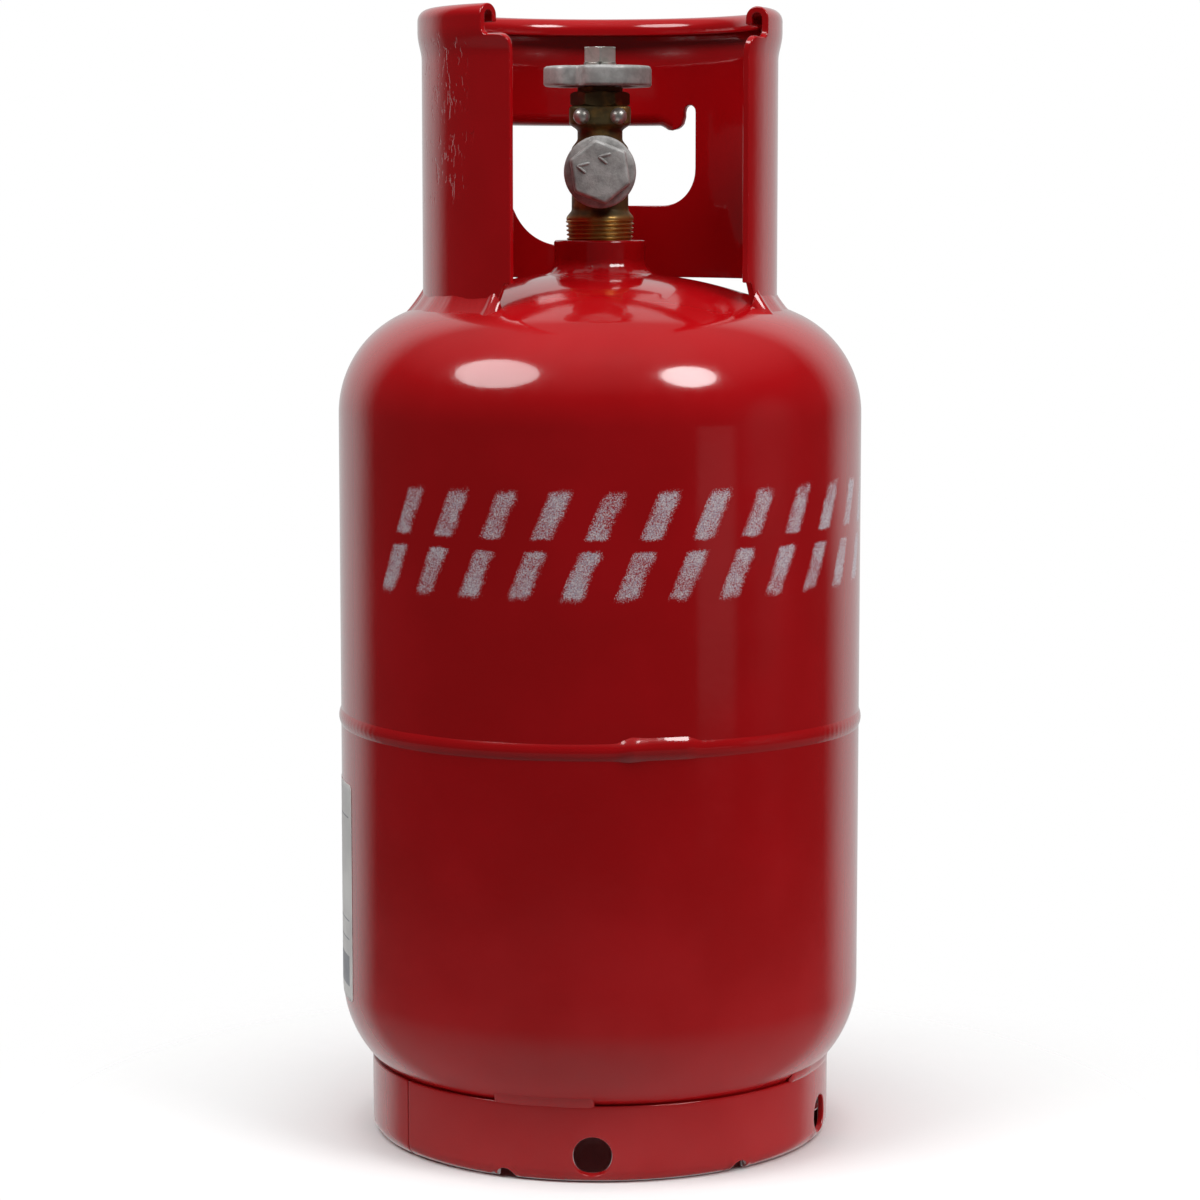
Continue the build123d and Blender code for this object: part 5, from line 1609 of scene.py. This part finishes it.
@dataclass
class Handwheel:
    """Cast three-lobed handwheel with its spring washer and nut."""

    low: float = 446.4
    height: float = 8.6
    radius: float = 23.4
    valley: float = -31.8
    scallop: float = 5.0
    nut_flats: float = 13.0
    nut_height: float = 6.5

    def outline(self, bearing: Array) -> Array:
        """Radius at a bearing: the lobes' circle less three bell-shaped valleys 120 degrees apart."""
        off = (bearing - self.valley + 60) % 120 - 60
        swell = 0.4 * np.cos(np.radians(3 * off + 180))
        return self.radius - self.scallop * np.exp(-((off / 11.5) ** 2)) + swell

    def build_wheel(self) -> bpy.types.Object:
        """Carries a rounded section round the lobed outline.

        Each section point has a share of the outline's radius, so the outer rows follow the lobes and the hub's
        rows are round. The top is crowned towards the hub.

        Returns:
            The new object.
        """
        bearing = np.linspace(0, 360, 360, endpoint=False)[:, None]
        corners = [(5.05, 8.6, 0), (9.6, 8.6, 0.3), (12.0, 8.3, 1.0), (23.4, 8.2, 1.5), (23.4, -0.2, 1.3),
                   (18.0, -0.2, 0.6), (17.4, 3.4, 1.0), (10.0, 3.4, 1.0), (9.4, 0.0, 0.6), (5.05, 0.0, 0)]
        profile = densify(rounded_path(corners, steps=6), 1.3, True)
        share = smooth_step(profile[:, 0], 9.6, 17.0)[None, :]
        reach = self.outline(bearing) / self.radius
        radius = profile[None, :, 0] * (1 + share * (reach - 1))
        points = around(bearing, radius, self.low + profile[None, :, 1]).reshape(-1, 3)
        quads = grid_quads(len(bearing), len(profile), wrap_rows=True, wrap_columns=True)
        return mesh_piece("handwheel_casting", points, turned(points, quads), 50)

    def build_nut(self) -> tuple[bpy.types.Object, bpy.types.Object]:
        """Spring washer as a split ring and nut as a hexagon cut by its chamfer cones.

        Returns:
            The washer and the nut.
        """
        top = self.low + self.height
        bearing = np.linspace(2.5, 357.5, 150)[:, None]
        section = rounded_path([(4.1, 0, 0.2), (6.8, 0, 0.2), (6.8, 1.2, 0.2), (4.1, 1.2, 0.2)])
        ring = around(bearing, section[None, :, 0], top + 0.02 + section[None, :, 1]).reshape(-1, 3)
        count = len(section)
        quads = grid_quads(len(bearing), count, wrap_columns=True)
        ends = []
        for first in (0, (len(bearing) - 1) * count):
            fan = np.arange(1, count - 1, 2)
            ends.append(np.stack([first + 0 * fan, first + fan, first + fan + 1,
                                  first + np.minimum(fan + 2, count - 1)], 1))
        quads = turned(ring, quads)
        caps = np.vstack([ends[0], ends[1][:, ::-1]])
        washer = mesh_piece("spring_washer_ring", ring, np.vstack([quads, caps]), 45)
        angle = np.linspace(0, 2 * np.pi, 300, endpoint=False)[:, None] + math.radians(30)
        low = top + 1.2
        up = np.concatenate([np.linspace(0, 1.2, 9), np.linspace(1.4, 5.1, 6), np.linspace(5.3, 6.5, 9)])
        up = up[None, :]
        radius = chamfered_hexagon(angle - math.radians(30), up, self.nut_flats, 0.6, self.nut_height, 0.15,
                                   0.1)
        body = circle(angle, radius, low + up)
        bore = [circle(angle, 4.02, z) for z in (low + self.nut_height, low)]
        grid = np.concatenate([body] + bore, axis=1)
        quads = grid_quads(len(angle), grid.shape[1], wrap_rows=True, wrap_columns=True)
        points = grid.reshape(-1, 3)
        return washer, mesh_piece("hexagon_nut", points, turned(points, quads), 45)

    def build(self, cast: bpy.types.Material, zinc: bpy.types.Material) -> None:
        """Builds and dresses the pieces that turn.

        Args:
            cast: the cast metal.
            zinc: the zinc plate.
        """
        settle(self.build_wheel(), cast, Body.WHEEL.value, "cast_aluminium", "handwheel")
        washer, nut = self.build_nut()
        settle(washer, zinc, Body.WHEEL.value, "plated_steel", "spring_washer")
        settle(nut, zinc, Body.WHEEL.value, "plated_steel", "handwheel_nut")


@dataclass
class OutletPlug:
    """Cast plug: round flange, hexagon and two raised arrowheads on its face."""

    axis_z: float = 410.4
    back: float = 16.0
    end: float = 35.0
    flange: float = 15.1
    flange_height: float = 4.0
    flats: float = 24.0
    lean: float = 8.6
    bore: float = 10.96
    depth: float = 16.0
    tips: tuple[tuple[float, float], ...] = ((-9.3, 2.2), (-0.4, 6.0))
    arms: tuple[tuple[float, float], ...] = ((4.7, 1.3), (3.1, -2.6))

    def build(self, cast: bpy.types.Material) -> None:
        """Lathes the flange into the hexagon, adds the arrowheads and the threaded bore.

        The hexagon's radius is the smaller of the rounded hexagon and the end's chamfer. Its face is very
        slightly uneven, as cast: a sum of two slow sines, 0.08 mm high.

        Args:
            cast: the cast metal.
        """
        angle = np.linspace(0, 2 * np.pi, 360, endpoint=False)[:, None]
        six = hexagon(angle - math.radians(30 + self.lean), self.flats, 1.6)
        length = self.end - self.back
        along = np.concatenate([np.linspace(self.flange_height + 0.6, length - 1.4, 12),
                                length - 1.4 + 1.4 * np.sin(np.linspace(0.15, np.pi / 2, 8))])[None, :]
        edge = np.sqrt(np.clip(1 - (np.maximum(along - length + 1.4, 0) / 1.4) ** 2, 0, 1))
        radius = six * (1 - 0.002 * along) - 1.4 * (1 - edge)
        hexagon_rings = circle(angle, radius, along)
        flange = rounded_path([(self.bore, 0, 0), (self.flange, 0, 0.9), (self.flange, self.flange_height, 1.2),
                               (13.9, self.flange_height + 0.3, 0)], closed=False)
        bore = [circle(angle, 0.0, self.depth), circle(angle, self.bore, self.depth)]
        face_share = np.linspace(0.9, 0.0, 10)[None, :]
        last = hexagon_rings[:, -1:, :2] * face_share[..., None]
        waves = 0.05 * np.sin(last[..., 0] * 0.7 + 1) * np.sin(last[..., 1] * 0.6) * (1 - face_share ** 4)
        face = np.concatenate([last, (length - 0.02 + waves)[..., None]], -1)
        rings = bore + [circle(angle, r, z) for r, z in flange] + [hexagon_rings, face]
        grid = np.concatenate(rings, axis=1)
        points = grid.reshape(-1, 3)
        quads = grid_quads(len(angle), grid.shape[1], wrap_rows=True)
        parts = [(points, turned(points, quads))]
        for tip in self.tips:
            for arm in self.arms:
                parts.append(self.bar(np.array(tip), np.array(arm), length))
        points, quads = joined(parts)
        standing = np.stack([points[:, 0], -(self.back + points[:, 2]), self.axis_z + points[:, 1]], 1)
        piece = mesh_piece("outlet_plug_casting", standing, turned(standing, quads), 42)
        settle(piece, cast, Body.PLUG.value, "cast_plug", "outlet_plug")

    @staticmethod
    def bar(start: Array, reach: Array, face: float) -> tuple[Array, Array]:
        """One raised arm: an ellipsoid stretched between two points, 1.3 mm wide and standing 0.55 mm proud.

        Args:
            start: the arm's tip.
            reach: from the tip to its other end.
            face: height of the plug's face.

        Returns:
            Points and outward quads.
        """
        u = np.linspace(0, 2 * np.pi, 28, endpoint=False)[:, None]
        v = np.linspace(0, np.pi, 10)[None, :]
        length = np.linalg.norm(reach)
        direction = reach / length
        side = np.array([-direction[1], direction[0]])
        stretch = np.sign(np.cos(u)) * np.abs(np.cos(u)) ** 0.35 * (length / 2 + 0.4) * np.sin(v) ** 0.5
        across = 0.65 * np.sin(u) * np.sin(v)
        plane = (start + reach / 2) + stretch[..., None] * direction + across[..., None] * side
        height = face - 0.05 + 0.6 * np.cos(v) + 0 * u
        points = np.concatenate([plane, height[..., None]], -1).reshape(-1, 3)
        quads = grid_quads(len(u), v.size, wrap_rows=True)
        return points, turned(points, quads)


# ---- stage ----------------------------------------------------------------------------------------------
@dataclass
class Studio:
    """Pale floor, surround, four elliptical soft lights and the camera."""

    distance: float = 1.462
    eye: float = 0.3975
    aim: float = 0.2285
    lens: float = 103.0

    def build_floor(self) -> None:
        """Lays a disc of matte paper whose edge fades out into the white surround."""
        radius = np.linspace(0, 700, 40)[:, None]
        angle = np.linspace(0, 2 * np.pi, 96, endpoint=False)[None, :]
        points = np.stack([radius * np.cos(angle), radius * np.sin(angle), -0.05 + 0 * radius * angle], -1)
        quads = grid_quads(40, 96, wrap_columns=True)
        floor = mesh_piece("studio_floor", points.reshape(-1, 3), quads)
        material, tree, place = new_material("matte_white_paper")
        noise = add(tree, "TexNoise", {"Vector": place, "Scale": per_metre(300)})
        cloud = add(tree, "MapRange", {0: noise, 1: 0.3, 2: 0.7}, **SMOOTH)
        tone = add(tree, "Mix", {0: cloud, 6: linear("f4f4f4"), 7: linear("f8f8f8")}, **COLOURS)
        distance = add(tree, "VectorMath", {0: place}, out="Value", operation="LENGTH")
        fade = add(tree, "MapRange", {0: distance, 1: 0.1, 2: 0.32, 3: 1.0, 4: 0.0}, **SMOOTH)
        # The paper is thin in glossy reflections, so that the enamel keeps its depth.
        glossy = add(tree, "LightPath", out="Is Glossy Ray")
        shown = add(tree, "Math", {0: glossy, 1: -0.84, 2: 1.0}, operation="MULTIPLY_ADD")
        shader = add(tree, "BsdfPrincipled", {"Base Color": tone, "Roughness": 0.85,
                                              "Alpha": all_of(tree, fade, shown)})
        add(tree, "OutputMaterial", {"Surface": shader})
        dress(floor, material)

    def build_world(self) -> None:
        """White behind the object and dark all round the front, so that the paint's edges catch white.

        The camera itself sees plain white in every direction.
        """
        world = bpy.data.worlds.new("studio_surround")
        world.use_nodes = True
        tree = world.node_tree
        tree.nodes.clear()
        x, y, z = add(tree, "SeparateXYZ", {0: add(tree, "TexCoord", out="Generated")}).node.outputs
        # A low window on the front right, seen only as a patch in the enamel.
        nearer = add(tree, "MapRange", {0: y, 1: 0.0, 2: -0.2}, **SMOOTH)
        sill = add(tree, "MapRange", {0: z, 1: -0.17, 2: -0.13}, **SMOOTH)
        head = add(tree, "MapRange", {0: z, 1: 0.0, 2: -0.06, 4: 0.2}, **SMOOTH)
        window = all_of(tree, within(tree, x, 0.7, 0.84, 0.06), nearer, sill, head)
        level = add(tree, "Math", {0: window, 1: 0.04}, operation="MAXIMUM")
        # Back, top and floor glow: where each starts and is full along its axis, and how bright it gets.
        for axis, start, full, bright in ((y, 0.38, 0.74, 0.6), (z, 0.3, 0.95, 0.26), (z, -0.12, -0.3, 0.13)):
            glow = add(tree, "MapRange", {0: axis, 1: start, 2: full, 4: bright}, **SMOOTH)
            level = add(tree, "Math", {0: level, 1: glow}, operation="MAXIMUM")
        seen = add(tree, "LightPath", out="Is Camera Ray")
        strength = add(tree, "Math", {0: level, 1: seen}, operation="MAXIMUM")
        shade = add(tree, "Background", {"Color": (1, 1, 1, 1), "Strength": strength})
        add(tree, "OutputWorld", {"Surface": shade})
        bpy.context.scene.world = world

    def softbox(self, name: str, place: tuple[float, float, float], size: tuple[float, float], power: float,
                mirrored: bool = True) -> None:
        """Adds one elliptical light that looks at the cylinder's shoulder; mirrored ones show as highlights.

        Args:
            name: the light's name.
            place: where it stands, metres.
            size: the light's two widths, metres.
            power: watts.
            mirrored: whether it shows in reflections.
        """
        light = bpy.data.lights.new(name, "AREA")
        light.shape = "ELLIPSE"
        light.size, light.size_y = size
        light.energy = power
        lamp = bpy.data.objects.new(name, light)
        lamp.visible_glossy = mirrored
        lamp.location = place
        lamp.rotation_euler = (Vector((0, 0, 0.3)) - Vector(place)).to_track_quat("-Z", "Y").to_euler()
        bpy.context.scene.collection.objects.link(lamp)

    def build_camera(self) -> None:
        """Places the camera at eye height, looking slightly down at the middle of the object."""
        camera = bpy.data.cameras.new("camera")
        camera.lens = self.lens
        camera.sensor_width = 36.0
        camera.clip_end = 60.0
        eye = bpy.data.objects.new("camera", camera)
        eye.location = (0, -self.distance, self.eye)
        eye.rotation_euler = (Vector((0, 0, self.aim)) - eye.location).to_track_quat("-Z", "Y").to_euler()
        bpy.context.scene.collection.objects.link(eye)
        bpy.context.scene.camera = eye

    def build(self) -> None:
        """Builds the whole stage."""
        self.build_floor()
        self.build_world()
        self.softbox("softbox_left", (-1.25, -0.8, 1.76), (1.3, 1.0), 20)
        self.softbox("softbox_right", (1.12, -1.02, 1.73), (0.8, 0.75), 16)
        self.softbox("overhead", (0.0, -0.2, 2.6), (2.4, 2.0), 46, mirrored=False)
        self.softbox("side_fill", (1.95, -0.4, 0.4), (1.0, 1.0), 13, mirrored=False)
        self.build_camera()
        bpy.context.scene.view_settings.view_transform = "Standard"


def dress_frame(frame: dict[str, Any], finishes: dict[str, bpy.types.Material]) -> None:
    """Gives every CAD node its material by the record's slot, so that hidden inner pieces are finished too.

    Args:
        frame: the loaded frame.
        finishes: a material for each slot.
    """
    slots = {part["node"]: part["material_slot"] for part in frame["record"]["subparts"]}
    for name, piece in frame["nodes"].items():
        piece.data.materials.clear()
        piece.data.materials.append(finishes[slots[name]])


def main() -> None:
    """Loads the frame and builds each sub-assembly in order."""
    logging.basicConfig(level=logging.INFO, format="%(message)s")
    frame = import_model()
    enamel = RedEnamel().material()
    stencilled = RedEnamel(name="red_alkyd_enamel_stencilled", stencil=StencilRow()).material()
    scuffed = RedEnamel(name="red_alkyd_enamel_scuffed", scuffs=ClampScuffs()).material()
    brass = ForgedBrass().material()
    zinc = ZincPlate().material()
    cast = CastMetal().material()
    plug = CastMetal(name="pressure_cast_zinc", light="b9b8b6", dark="8c8b89", rough=0.46, relief=0.4,
                     metallic=0.25).material()
    rubber = MouldedSeal("nitrile_rubber", "161616", 0.6).material()
    nylon = MouldedSeal("nylon_seal", "dcd9cc", 0.45).material()
    finishes = {
        "red_paint": enamel, "label_film": nylon, "brass": brass, "nylon": nylon, "rubber": rubber,
        "plated_steel": zinc, "cast_aluminium": cast, "cast_plug": plug,
    }
    dress_frame(frame, finishes)
    shell = PressureShell()
    shell.build(enamel, stencilled)
    Neck(shell).build(enamel)
    Collar(shell).build(scuffed)
    FootRing(shell).build(enamel)
    BodyLabel(shell).build(LabelFilm())
    Valve().build(brass, zinc)
    Handwheel().build(cast, zinc)
    OutletPlug().build(plug)
    Studio().build()


if __name__ == "__main__":
    main()
